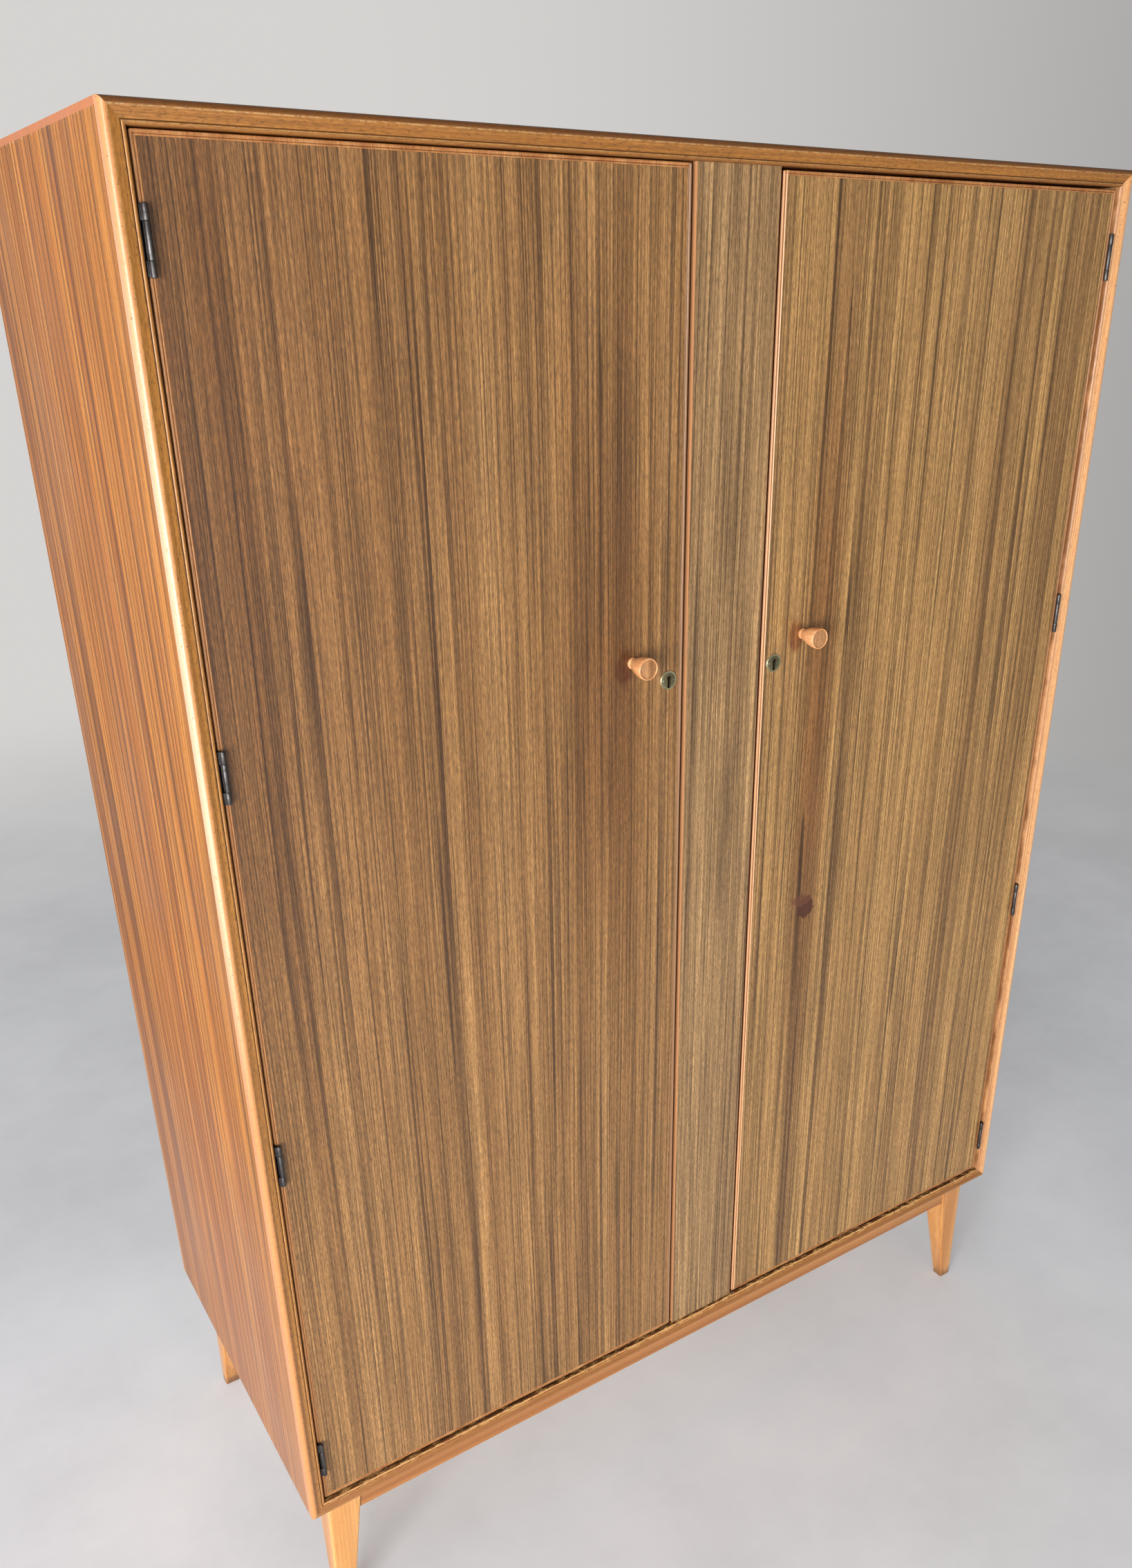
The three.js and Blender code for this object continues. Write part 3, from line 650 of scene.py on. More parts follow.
def moulded_wear_and_painted_light(outer_tone, outer_strength, rub_strength, heavy=False, highlight_height=None):
    """The outer round's tone, painted light on some rails and painted shade on others, painted shade in the
    quirk, dirt and painted shade on the inner bead, a rubbed apex and small flecks. Around the given height
    the outer round gets a pale painted highlight. The mark on each point is its place across the moulding, 0
    outside and 1 inside."""

    def overlay(s, place, base):
        mark = s.mark()
        flecks = s.grit(place, (420, 420, 420), 2, 0.6)
        rag = s.grit(place, (190, 190, 190), 3, 0.7)
        coarse = s.grit(place, (22, 22, 22))
        # The outer round's tone for this rail: painted light on some rails, painted shade on others.
        outer = s.times(s.span(mark, 0.2, 0.34, outer_strength, 0), s.span(rag, 0.3, 0.5, 0.75, 1))
        base = s.mix(outer, base, colour(outer_tone))
        # A pale painted highlight on the outer round around the given height.
        if highlight_height:
            close = s.away(place["z"], metres((0, 0, highlight_height)).z)
            painted_highlight = s.times(s.span(mark, 0.1, 0.2, 1, 0), s.span(close, 0.1, 0.5, 0.5, 0))
            painted_highlight = s.times(painted_highlight, s.span(rag, 0.25, 0.45, 0.5, 1))
            base = s.mix(painted_highlight, base, WEAR["painted_highlight"])
        # Painted shade in the quirk.
        quirk = s.times(thin_line(s, mark, 0.79, 0.04), 0.85)
        base = s.mix(quirk, base, WEAR["quirk_shade"])
        # Dirt and painted shade on the inner bead beside the door gap.
        dirt = s.times(s.span(mark, 0.9, 0.99), s.span(coarse, 0.35, 0.6, 0.35, 0.85))
        base = s.mix(dirt, base, WEAR["bead_dirt_and_shade"])
        for line, width, strength in ((0.3, 0.05, rub_strength), (0.84, 0.045, rub_strength * 0.7)):
            rub = s.times(thin_line(s, mark, line, width), s.span(rag, 0.42, 0.58, 0.1, strength))
            base = s.mix(rub, base, WEAR["rub"])
        base = s.mix(s.times(s.span(flecks, 0.66, 0.7), 0.7), base, WEAR["fleck"])
        return heavy_wear_and_painted_light(s, place, base, mark, rag) if heavy else base

    return overlay


def dirty_shaded_groove(s, place, base):
    """Dirt and painted shade in the groove that the mark picks out."""
    return s.mix(s.span(s.mark(), 0.25, 0.9, 0, 0.85), base, WEAR["groove"])


def dim_reflection_middle(centres, radius):
    """A painted dim reflection, darker towards the middle of the round plates at these centres."""

    def overlay(s, place, base):
        for centre in centres:
            dulled = s.span(near(s, place, centre, (radius, radius)), 0.12, 0.3, 0, 0.75)
            base = s.mix(dulled, base, WEAR["plate_middle"])
        return base

    return overlay


def dark_feet(s, place, base):
    """Dirt picked up by the feet."""
    rag = s.grit(place, (90, 90, 40), 3)
    height = s.plus(place["z"], s.times(s.minus(rag, 0.5), 0.03))
    return s.mix(s.span(height, 0, 0.02, 0.7, 0), base, WEAR["foot_dirt"])


# ---- materials ----

LIPPING_TONE = (232, 168, 116)
# SHADED and LIT_EDGE are painted shade and a painted highlight for faces in and beside the door gaps.
SHADED = (104, 56, 30)
LIT_EDGE = (255, 208, 160)
REDDISH = (208, 134, 86)
RUBBED = (176, 122, 96)
STAIN_DARK = (74, 36, 22)
STAIN_PALE = (104, 62, 40)
# KEYWAY_DARK is painted shadow, seen through the keyholes.
KEYWAY_DARK = (16, 12, 9)
KEYWAY_REACH = (11.5, 11.5)
# How far back the painted light reaches into the gaps beside the stile, with painted shade behind.
LIT_DEPTH = {"pilaster": 8.4, "door": 5}
FRONT_OF_GAP = -5
BACK_OF_GAP = 30


def middle_place(name):
    """A node's middle as x and z in millimetres."""
    low, high = node_box(name)
    return (low.x + high.x) / 2, (low.z + high.z) / 2


PLATES = {hand: middle_place(f"{hand}_escutcheon") for hand in SIDES}
KNOBS = {hand: middle_place(f"{hand}_knob") for hand in SIDES}
FREE = {"left": node_box("left_door_lipping")[1].x, "right": node_box("right_door_lipping")[0].x}
PILASTER_LOW, PILASTER_HIGH = node_box("pilaster")


def keyway_shadow(hand):
    """Painted shadow on the door behind the keyhole plate, which shows dark through the keyhole."""
    return patch(PLATES[hand], KEYWAY_REACH, KEYWAY_DARK, 1, 0, "MIX", 0.05)


def gap_faces(xs, lit_depth, lit_tone):
    """Painted light and shade on faces at these x: a lit tone at the front of a gap and painted shade
    behind.
    """
    spans = {lit_tone: (FRONT_OF_GAP, lit_depth), SHADED: (lit_depth, BACK_OF_GAP)}
    return [block({"x": x, "y": span}, tone) for x in xs for tone, span in spans.items()]


door_overlays = {
    # The first left patch is painted shade, darkening the left door towards its upper left.
    "left": [patch((-600, 1300), (420, 1300), (206, 192, 182), 1, 0.2, fade=0.8),
             patch((-160, 1000), (110, 640), (212, 200, 190), 1, 0.2, fade=0.8),
             patch((KNOBS["left"][0] - 11, KNOBS["left"][1] - 4), (18, 30), RUBBED, 0.7),
             keyway_shadow("left")],
    "right": [patch((KNOBS["right"][0] - 10, KNOBS["right"][1] - 2), (17, 28), RUBBED, 0.7),
              patch((150, 860), (50, 800), (216, 196, 182), 0.9, 0.3, fade=0.8),
              keyway_shadow("right"),
              patch((155, 641), (17, 20), STAIN_DARK, 0.9, 0.9, "MIX", 0.14),
              patch((146, 652), (20, 11), STAIN_PALE, 0.7, 0.9, "MIX", 0.2)],
}
MATERIALS = {
    # The stile's side faces are painted: lipping-toned painted light at the front of each gap and painted
    # shade behind.
    "pilaster": wood("pilaster_veneer", PILASTER_LOOK, shift=0.4, overlays=gap_faces(
        [(x - 0.2, x + 0.2) for x in (PILASTER_LOW.x, PILASTER_HIGH.x)], LIT_DEPTH["pilaster"],
        LIPPING_TONE)),
    "pilaster_edge": wood("pilaster_edge", LIPPING_LOOK, worn=0.6),
    # The rails' outer tones paint light and shade: pale painted highlights on the left and right rails, dark
    # painted shade on the top rail. The left rail also gets a pale painted highlight on its outer round
    # around 1060 mm up.
    "moulding_left": wood("moulding_left", MOULDING_LOOK, overlays=[
        moulded_wear_and_painted_light((212, 142, 86), 0.8, 0.25, highlight_height=1060)]),
    "moulding_right": wood("moulding_right", LIT_RIGHT_RAIL_LOOK, overlays=[
        moulded_wear_and_painted_light((236, 176, 124), 0.85, 0.5)]),
    "moulding_top": wood("moulding_top", SHADED_TOP_RAIL_LOOK, "zyx", overlays=[
        moulded_wear_and_painted_light((96, 56, 26), 0.8, 0.45)]),
    "moulding_bottom": wood("moulding_bottom", BOTTOM_RAIL_LOOK, "zyx", overlays=[
        moulded_wear_and_painted_light((206, 140, 70), 0.5, 0.3, heavy=True)]),
    # Beside the stile, SHADED paints shade on the left door's free edge face; on the right door LIT_EDGE
    # paints a highlight on the lipping's front and on the front of its edge face, with painted shade behind.
    "left_lipping": wood("left_lipping_wood", LIPPING_LOOK, overlays=[
        dirty_shaded_groove, block({"x": (FREE["left"] - LIPPING, FREE["left"] - 0.3)}, (186, 154, 114), 0.6),
        block({"x": (FREE["left"] - 0.3, FREE["left"] + 1)}, SHADED)]),
    "right_lipping": wood("right_lipping_wood", LIPPING_LOOK, overlays=[
        dirty_shaded_groove, block({"x": (FREE["right"] + 2.4, FREE["right"] + LIPPING)}, LIT_EDGE),
        *gap_faces([(FREE["right"] - 1, FREE["right"] + 0.3)], LIT_DEPTH["door"], LIT_EDGE)]),
    "leg": wood("leg_wood", LEG_LOOK, overlays=[dark_feet]),
    "knob": wood("knob_wood", KNOB_LOOK, "xzy"),
    "inlay": wood("inlay_wood", INLAY_LOOK),
    "socket": wood("socket_wood", INLAY_LOOK, "yzx"),
    "rail": wood("rail_wood", KNOB_LOOK, "zyx"),
    "bronze": metal("bronzed_steel", (98, 95, 94), (78, 75, 74), 0.4, pitting=0.1),
    "brass": metal("aged_brass", (206, 196, 160), (160, 150, 112), 0.36),
    "plate": metal("keyhole_brass", (226, 218, 182), (184, 174, 132), 0.3, pitting=0.5,
                   overlays=[dim_reflection_middle(PLATES.values(), 11)]),
    "steel": metal("bright_steel", (176, 172, 166), (120, 112, 104), 0.34),
}
side_overlays = [block({"z": (HEIGHT - 6, HEIGHT + 1)}, REDDISH), chips_under_top, painted_floor_reflection, inner_face]
# Boards have a finish for their faces and a worn one for their edges.
for key, name, look, grain, worn, overlays in (
        ("side", "side_veneer", SIDE_LOOK, "yxz", 0.45, side_overlays),
        ("top", "top_veneer", SIDE_LOOK, "yzx", 0.45, ()),
        ("apron", "apron_wood", APRON_LOOK, "zyx", 0.35, ()),
        ("apron_short", "apron_short_wood", APRON_LOOK, "zxy", 0.35, ()),
        ("shelf", "shelf_wood", INNER_LOOK, "yzx", 0.3, ()),
        ("board", "inner_wood", INNER_LOOK, "yxz", 0.3, ()),
        ("plywood", "back_plywood", PLY_LOOK, "xyz", 0.2, ())):
    MATERIALS[key] = wood(name, look, grain, overlays=overlays)
    MATERIALS[f"{key}_edge"] = wood(f"{name}_edge", look, grain, worn=worn)
for hand, look, shift in (("left", DOOR_LOOK, 0), ("right", GOLDEN_DOOR_LOOK, 0.9)):
    for key, worn in (("door", 0), ("door_edge", 0.4)):
        name = f"{hand}_{key}"
        MATERIALS[name] = wood(f"{name}_veneer", look, shift=shift, worn=worn,
                               overlays=door_overlays[hand])

# ---- flat boards: the CAD nodes themselves, with eased edges ----


def ease(width, material, *nodes):
    """Rounds CAD boards' edges and gives the rounded strips their own worn finish, if there is one."""
    for node in nodes:
        obj = frame["nodes"][node]
        obj.data.materials.clear()
        obj.data.materials.append(MATERIALS[material])
        obj.data.materials.append(MATERIALS.get(f"{material}_edge", MATERIALS[material]))
        flatten = obj.modifiers.new("flatten", "DECIMATE")
        flatten.decimate_type = "DISSOLVE"
        flatten.angle_limit = math.radians(1)
        rounding = obj.modifiers.new("ease", "BEVEL")
        rounding.width = width / 1000
        rounding.segments = 3
        rounding.limit_method = "ANGLE"
        rounding.angle_limit = math.radians(50)
        rounding.material = 1
        rounding.harden_normals = False


for hand in SIDES:
    ease(0.25, f"{hand}_door", f"{hand}_door_board")
    ease(0.5, "bronze", f"{hand}_lock_case")
    ease(0.6, "brass", f"{hand}_lock_bolt")
    ease(0.3, "brass", f"{hand}_strike_plate")
ease(0.8, "side", "side_left", "side_right")
ease(0.8, "top", "top_panel")
ease(0.8, "shelf", "bottom_panel")
ease(0.5, "plywood", "back_panel")
ease(0.8, "board", "center_divider")
ease(1.2, "board", "door_stop_strip")
ease(0.7, "pilaster", "pilaster")
ease(1.2, "shelf", "hat_shelf", "shelf_1", "shelf_2", "shelf_3")
ease(1.5, "apron", "apron_front", "apron_back")
ease(1.5, "apron_short", "apron_left", "apron_right")

# ---- front frame ----


def moulding_section():
    """The frame's section, u inwards from the outer face and v back from the front plane."""
    outline = [(0, FRAME_BACK), (0, 4), (0, 1.2)]
    curve(outline, (0.2, -3.4), (2.2, -5), (5.4, -FRAME_PROUD), 12)
    curve(outline, (7.6, -5), (9.4, -2.9), (14.3, -2.3), 10)
    outline += [(14.6, -2), (14.8, -0.9), (15.05, -0.9), (15.25, -1.8)]
    curve(outline, (15.7, -2.9), (18.9, -2.6), (FRAME_WIDTH, 0.8), 10)
    outline += [(FRAME_WIDTH, FRAME_BACK)]
    return outline


def frame_rail(length, place, wear=0):
    """A rail mitred at both ends, its bead dented by wear, more so towards its far end. place turns
    (u, v, run) into a carcass point."""
    section = moulding_section()
    steps = max(2, round(length / RAIL_STEP))
    loops, marks = [], []
    for i in range(steps + 1):
        loop = []
        for u, v in section:
            start = u + MITRE_GAP
            run = start + (length - 2 * start) * i / steps
            exposed = max(0, 1 - abs(u - BEAD_MIDDLE) / BEAD_REACH) * wear * (0.25 + 0.75 * i / steps)
            spot = Vector((run / DENT_LENGTH, u / DENT_BREADTH, DENT_SEED))
            dent = exposed * max(0, noise.noise(spot))
            loop.append(place(u, v + dent, run))
            marks.append(u / FRAME_WIDTH)
        loops.append(loop)
    return rings(loops, marks=marks)


RAILS = {
    "left": (HEIGHT, lambda u, v, run: (u - HALF_WIDTH, v, run), 0),
    "right": (HEIGHT, lambda u, v, run: (HALF_WIDTH - u, v, run), 0),
    "top": (2 * HALF_WIDTH, lambda u, v, run: (run - HALF_WIDTH, v, HEIGHT - u), 0.3),
    "bottom": (2 * HALF_WIDTH, lambda u, v, run: (run - HALF_WIDTH, v, u), 1.6),
}
for rail_name, (length, place, wear) in RAILS.items():
    add_piece(f"frame_rail_{rail_name}", frame_rail(length, place, wear), "carcass",
              f"moulding_{rail_name}", [f"moulding_{rail_name}"], sharp_angle=40)

# ---- doors ----


def lipping_section():
    """The lipping's section, u inwards from the door's edge and v back from the carcass front."""
    nose = DOOR_FRONT - LIPPING_PROUD
    back = DOOR_FRONT + DOOR_THICKNESS
    outline = [(0, back - 0.4), (0, 12), (0, nose + 1.3)]
    curve(outline, (0, nose + 0.5), (0.5, nose), (1.3, nose), 6)
    curve(outline, (2, nose), (2.4, nose + 0.2), (2.7, nose + 0.8), 4)
    outline += [LIPPING_GROOVE]
    curve(outline, (3.5, nose + 0.1), (4.1, nose), (LIPPING - 0.05, nose + 0.6), 5, (3.3, nose + 0.7))
    outline += [(LIPPING - 0.05, back), (0.4, back)]
    return outline


def lipping_ring(low, high):
    """The section run round a door, with small rounded outer corners."""
    corners = [(1, 1, 180), (-1, 1, 270), (-1, -1, 0), (1, -1, 90)]
    arc_steps = 5
    loops, marks = [], []
    for inwards_x, inwards_z, start in corners:
        corner_x = low.x if inwards_x > 0 else high.x
        corner_z = low.z if inwards_z > 0 else high.z
        centre = (corner_x + inwards_x * LIPPING_CORNER, corner_z + inwards_z * LIPPING_CORNER)
        for k in range(arc_steps + 1):
            angle = math.radians(start + 90 * k / arc_steps)
            loop = []
            for u, v in lipping_section():
                if u < LIPPING_CORNER:
                    reach = LIPPING_CORNER - u
                    x, z = centre[0] + reach * math.cos(angle), centre[1] + reach * math.sin(angle)
                else:
                    x, z = corner_x + inwards_x * u, corner_z + inwards_z * u
                loop.append((x, v, z))
                marks.append(1 if (u, v) == LIPPING_GROOVE else 0)
            loops.append(loop)
    marks += marks[:len(loops[0])]
    return rings(loops + [loops[0]], close_ends=False, marks=marks)


def cutter_box(low, high):
    """A box with almost sharp edges, to cut a recess."""
    return bevelled_box(low, high, 0.01)


for hand, side in SIDES.items():
    low, high = node_box(f"{hand}_door_lipping")
    hinged_edge = high.x if side > 0 else low.x
    near_x, far_x = sorted((hinged_edge - side * LEAF_RECESS, hinged_edge + side * CUT_BEYOND))
    recesses = []
    for i in HINGES:
        leaf_low, leaf_high = node_box(f"{hand}_hinge_{i}_door_leaf")
        recesses.append(cutter_box((near_x, DOOR_FRONT - 3 * CUT_BEYOND, leaf_low.z - RECESS_ROOM),
                                   (far_x, LEAF_BACK + RECESS_ROOM, leaf_high.z + RECESS_ROOM)))
    room = Vector((RECESS_ROOM,) * 3)
    case_low, case_high = node_box(f"{hand}_lock_case")
    recesses.append(cutter_box(case_low - room, case_high + room))
    add_piece(f"{hand}_door_lipping_ring", lipping_ring(low, high), f"{hand}_door",
              f"{hand}_lipping", [f"{hand}_door_lipping"], recesses)

# ---- knobs and keyhole plates ----

# Turned outlines, as (radius, distance from the door, or from the foot of the piece).
DISC_PROFILE = [(0.01, KNOB_LENGTH - 0.9), (INLAY_RADIUS - 0.3, KNOB_LENGTH - 0.9),
                (INLAY_RADIUS, KNOB_LENGTH - 1.1), (INLAY_RADIUS, KNOB_LENGTH - 1.9)]
PLATE_PROFILE = [(0.01, 2), (3, 1.94), (6, 1.76), (8.8, 1.45), (9.3, 1.38), (9.7, 1.4), (10.1, 1.55),
                 (10.5, 1.5), (10.85, 1.1), (ESCUTCHEON_RADIUS, 0.5), (ESCUTCHEON_RADIUS, 0), (0.01, 0)]
PIN_PROFILE = [(0.01, 0.5), (0.35, 0.45), (0.7, 0.3), (0.9, 0), (0.9, -0.4)]


def knob_profile():
    """The knob's turned outline as (radius, distance from the door)."""
    face = KNOB_LENGTH
    outline = [(INLAY_RADIUS + 0.15, face - 2), (INLAY_RADIUS + 0.15, face - 0.5),
               (INLAY_RADIUS + 0.45, face - 0.1), (INLAY_RADIUS + 0.9, face)]
    curve(outline, (12, face), (KNOB_RADIUS, face - 1.2), (KNOB_RADIUS, face - 3), 6)
    curve(outline, (12.4, face - 9), (10.8, face - 15), (8.6, face - 21), 14)
    curve(outline, (7.4, face - 24.4), (6.2, face - 25.5), (6, 3.8), 6)
    curve(outline, (6.8, 2.8), (6.9, 0.6), (6.3, 0), 8)
    return outline + [(4, 0), (4, -14)]


def facing(centre):
    """Turns a turned shape's +Z to face out of the front, about a carcass point."""
    return Matrix.Translation(centre) @ turned(90, "X")


def keyhole_shape(centre, depth):
    """A round-topped keyhole's prism through the front, standing on its slot."""
    top = centre.z + KEYHOLE_RADIUS
    low = top + KEYHOLE_RADIUS - KEYHOLE_HEIGHT
    half = KEYHOLE_SLOT / 2
    swing = math.asin(half / KEYHOLE_RADIUS)
    steps = 24
    outline = [(centre.x - half, low), (centre.x + half, low)]
    for k in range(steps + 1):
        angle = -math.pi / 2 + swing + (math.tau - 2 * swing) * k / steps
        outline.append((centre.x + KEYHOLE_RADIUS * math.cos(angle), top + KEYHOLE_RADIUS * math.sin(angle)))
    return rings([[(x, centre.y + y, z) for x, z in outline] for y in (-depth, depth)])


for hand in SIDES:
    body = f"{hand}_door"
    x, z = KNOBS[hand]
    fixing = facing((x, DOOR_FRONT, z))
    add_piece(f"{hand}_turned_knob", Shape().merge(lathe(knob_profile()), fixing), body,
              "knob", [f"{hand}_knob"])
    add_piece(f"{hand}_knob_disc", Shape().merge(lathe(DISC_PROFILE), fixing), body,
              "inlay", [f"{hand}_knob_inlay"])

    x, z = PLATES[hand]
    centre = Vector((x, DOOR_FRONT, z))
    plate = Shape().merge(lathe(PLATE_PROFILE, 72), facing(centre))
    add_piece(f"{hand}_keyhole_plate", plate, body, "plate",
              [f"{hand}_escutcheon"], [keyhole_shape(centre, KEYHOLE_CUT)])
    pins = Shape()
    for offset in (-PLATE_PIN_OFFSET, PLATE_PIN_OFFSET):
        pins.merge(lathe(PIN_PROFILE, 20), facing(centre + Vector((offset, -PLATE_PIN_SEAT, 0))))
    add_piece(f"{hand}_keyhole_plate_pins", pins, body, "brass")

# ---- hinges and screws ----


def screw_head(radius, turn):
    """A countersunk head, slightly domed, and the box that cuts its slot, standing on z = 0."""
    head = lathe([(0.01, 0.28), (radius * 0.5, 0.24), (radius * 0.85, 0.12), (radius, 0),
                  (radius * 0.8, -0.5), (0.01, -0.5)], 28)
    slot = bevelled_box((-radius * 1.2, -0.28, -0.12), (radius * 1.2, 0.28, 1), 0.02)
    turning = turned(turn, "Z")
    return Shape().merge(head, turning), Shape().merge(slot, turning)


def add_screws(name, body, material, places, outwards, radius):
    """Screws at these places, facing outwards, each turned its own way, joined into one piece."""
    turn = Vector(outwards).to_track_quat("Z", "Y").to_matrix().to_4x4()
    heads, slots = Shape(), Shape()
    for i, place in enumerate(places):
        head, groove = screw_head(radius, SCREW_TURN * i + FIRST_SCREW_TURN)
        matrix = Matrix.Translation(place) @ turn
        heads.merge(head, matrix)
        slots.merge(groove, matrix)
    add_piece(name, heads, body, material, cutters=[slots])


def barrel(low, high):
    """One knuckle, with its ends slightly rounded."""
    r, edge = HINGE_RADIUS, 0.35
    return lathe([(r - edge - 0.2, low), (r - edge, low), (r - 0.1, low + 0.12), (r, low + edge),
                  (r, high - edge), (r - 0.1, high - 0.12), (r - edge, high), (r - edge - 0.2, high)], 40)


def pin_tip(z, upwards):
    """The pin's peened end."""
    return lathe([(0.01, z + upwards * 0.7), (0.8, z + upwards * 0.6), (1.4, z + upwards * 0.3),
                  (1.6, z - upwards * 0.3)][::upwards], 28)


def span_box(side, near_x, far_x, y0, y1, z0, z1):
    """A slightly bevelled box between two distances from the middle, on one side."""
    low_x, high_x = sorted((side * near_x, side * far_x))
    return bevelled_box((low_x, y0, z0), (high_x, y1, z1), 0.15)


HINGE_X = {joint["child"]: joint["pos_m"][0] * 1000 for joint in frame["joints"]
           if joint["type"] == "hinge"}
FIXED_LEAF = HALF_WIDTH - FRAME_WIDTH - LEAF_THICKNESS - FIXED_LEAF_GAP
MOVING_LEAF = HALF_WIDTH - FRAME_WIDTH - DOOR_GAP - LEAF_THICKNESS
KNUCKLE_FRONT = HINGE_AXIS_Y - 0.3
WRAP_BACK = 4

for hand, side in SIDES.items():
    body = f"{hand}_door"
    axis_x = abs(HINGE_X[body])
    axis = Matrix.Translation((side * axis_x, HINGE_AXIS_Y, 0))
    for i in HINGES:
        base, top = (corner.z for corner in node_box(f"{hand}_hinge_{i}_door_leaf"))
        knuckles = [(base, base + HINGE_KNUCKLE), (top - HINGE_KNUCKLE, top)]
        middle = (knuckles[0][1] + BORE_GAP, knuckles[1][0] - BORE_GAP)

        fixed = (side, FIXED_LEAF, FIXED_LEAF + LEAF_THICKNESS)
        leaf = span_box(*fixed, LEAF_FRONT, LEAF_BACK, base, top)
        for knuckle in knuckles:
            leaf.merge(barrel(*knuckle), axis)
            leaf.merge(span_box(*fixed, KNUCKLE_FRONT, WRAP_BACK, *knuckle))
            leaf.merge(span_box(side, axis_x + 1.5, FIXED_LEAF + 0.8, KNUCKLE_FRONT, -0.4, *knuckle))
        leaf.merge(pin_tip(top, 1), axis).merge(pin_tip(base, -1), axis)
        add_piece(f"{hand}_hinge_{i}_fixed_leaf", leaf, "carcass", "bronze",
                  [f"{hand}_hinge_{i}_frame_leaf"])

        moving = (side, MOVING_LEAF, MOVING_LEAF + LEAF_THICKNESS)
        leaf = span_box(*moving, LEAF_FRONT, LEAF_BACK, base, top)
        leaf.merge(span_box(*moving, -1, WRAP_BACK, *middle))
        leaf.merge(barrel(*middle), axis)
        add_piece(f"{hand}_hinge_{i}_moving_leaf", leaf, body, "bronze",
                  [f"{hand}_hinge_{i}_door_leaf"])

        rows = [base + HINGE_SCREW_INSET, (base + top) / 2, top - HINGE_SCREW_INSET]
        ys = [HINGE_SCREW_Y, HINGE_SCREW_Y + HINGE_SCREW_STAGGER, HINGE_SCREW_Y]
        for part, owner, face, way in (("frame", "carcass", FIXED_LEAF, -side),
                                       ("door", body, MOVING_LEAF + LEAF_THICKNESS, side)):
            add_screws(f"{hand}_hinge_{i}_{part}_screws", owner, "bronze",
                       [(side * face, y, z) for y, z in zip(ys, rows)], (way, 0, 0), SCREW_RADIUS["hinge"])

    low, high = node_box(f"{hand}_strike_plate")
    edge = high.x if side > 0 else low.x
    add_screws(f"{hand}_strike_screws", "carcass", "brass",
               [(edge, (low.y + high.y) / 2, z) for z in (low.z + 5.5, high.z - 5.5)], (side, 0, 0),
               SCREW_RADIUS["strike"])
    low, high = node_box(f"{hand}_lock_case")
    add_screws(f"{hand}_lock_screws", body, "steel",
               [(x, high.y, z) for x in (low.x + 5, high.x - 5) for z in (low.z + 6, high.z - 6)],
               (0, 1, 0), SCREW_RADIUS["lock"])

# ---- leg frame ----

# A leg's corner insets from the carcass's outer faces, at its top and at its foot.
LEG_TOP = {"outer_x": 28, "inner_x": 76, "outer_y": 18.5, "inner_y": 68.5}
LEG_FOOT = {"outer_x": 24, "inner_x": 45.5, "outer_y": 21.5, "inner_y": 39.5}
# Depths down a leg, each with how far its outline is drawn in there.
LEG_DEPTHS = [(0, 0), (40, 0), (120, 0), (LEG_HEIGHT - FOOT_CHAMFER, 0),
              (LEG_HEIGHT - 0.5, FOOT_CHAMFER * 0.7), (LEG_HEIGHT, FOOT_CHAMFER)]


def leg_loop(side_x, side_y, depth, shrink):
    """A leg's rounded square outline at a depth below the carcass."""
    part = depth / LEG_HEIGHT
    inset = {key: LEG_TOP[key] + (LEG_FOOT[key] - LEG_TOP[key]) * part for key in LEG_TOP}
    xs = sorted(side_x * (HALF_WIDTH - inset[key]) for key in ("outer_x", "inner_x"))
    ys = sorted(inset[key] if side_y < 0 else DEPTH - inset[key] for key in ("outer_y", "inner_y"))
    radius = LEG_CORNER * (1 - 0.35 * part)
    arc_steps = 8
    loop = []
    for cx, cy, start in ((xs[1], ys[1], 0), (xs[0], ys[1], 90), (xs[0], ys[0], 180), (xs[1], ys[0], 270)):
        towards_x = -1 if cx == xs[1] else 1
        towards_y = -1 if cy == ys[1] else 1
        centre = (cx + towards_x * (radius + shrink), cy + towards_y * (radius + shrink))
        for k in range(arc_steps + 1):
            angle = math.radians(start + 90 * k / arc_steps)
            loop.append((centre[0] + radius * math.cos(angle), centre[1] + radius * math.sin(angle), -depth))
    return loop


for end, side_y in (("front", -1), ("back", 1)):
    for hand, side_x in SIDES.items():
        leg = rings([leg_loop(side_x, side_y, depth, shrink) for depth, shrink in LEG_DEPTHS])
        add_piece(f"tapered_leg_{end}_{hand}", leg, "carcass", "leg",
                  [f"leg_{end}_{hand}"], sharp_angle=50)

# ---- hanging rail ----

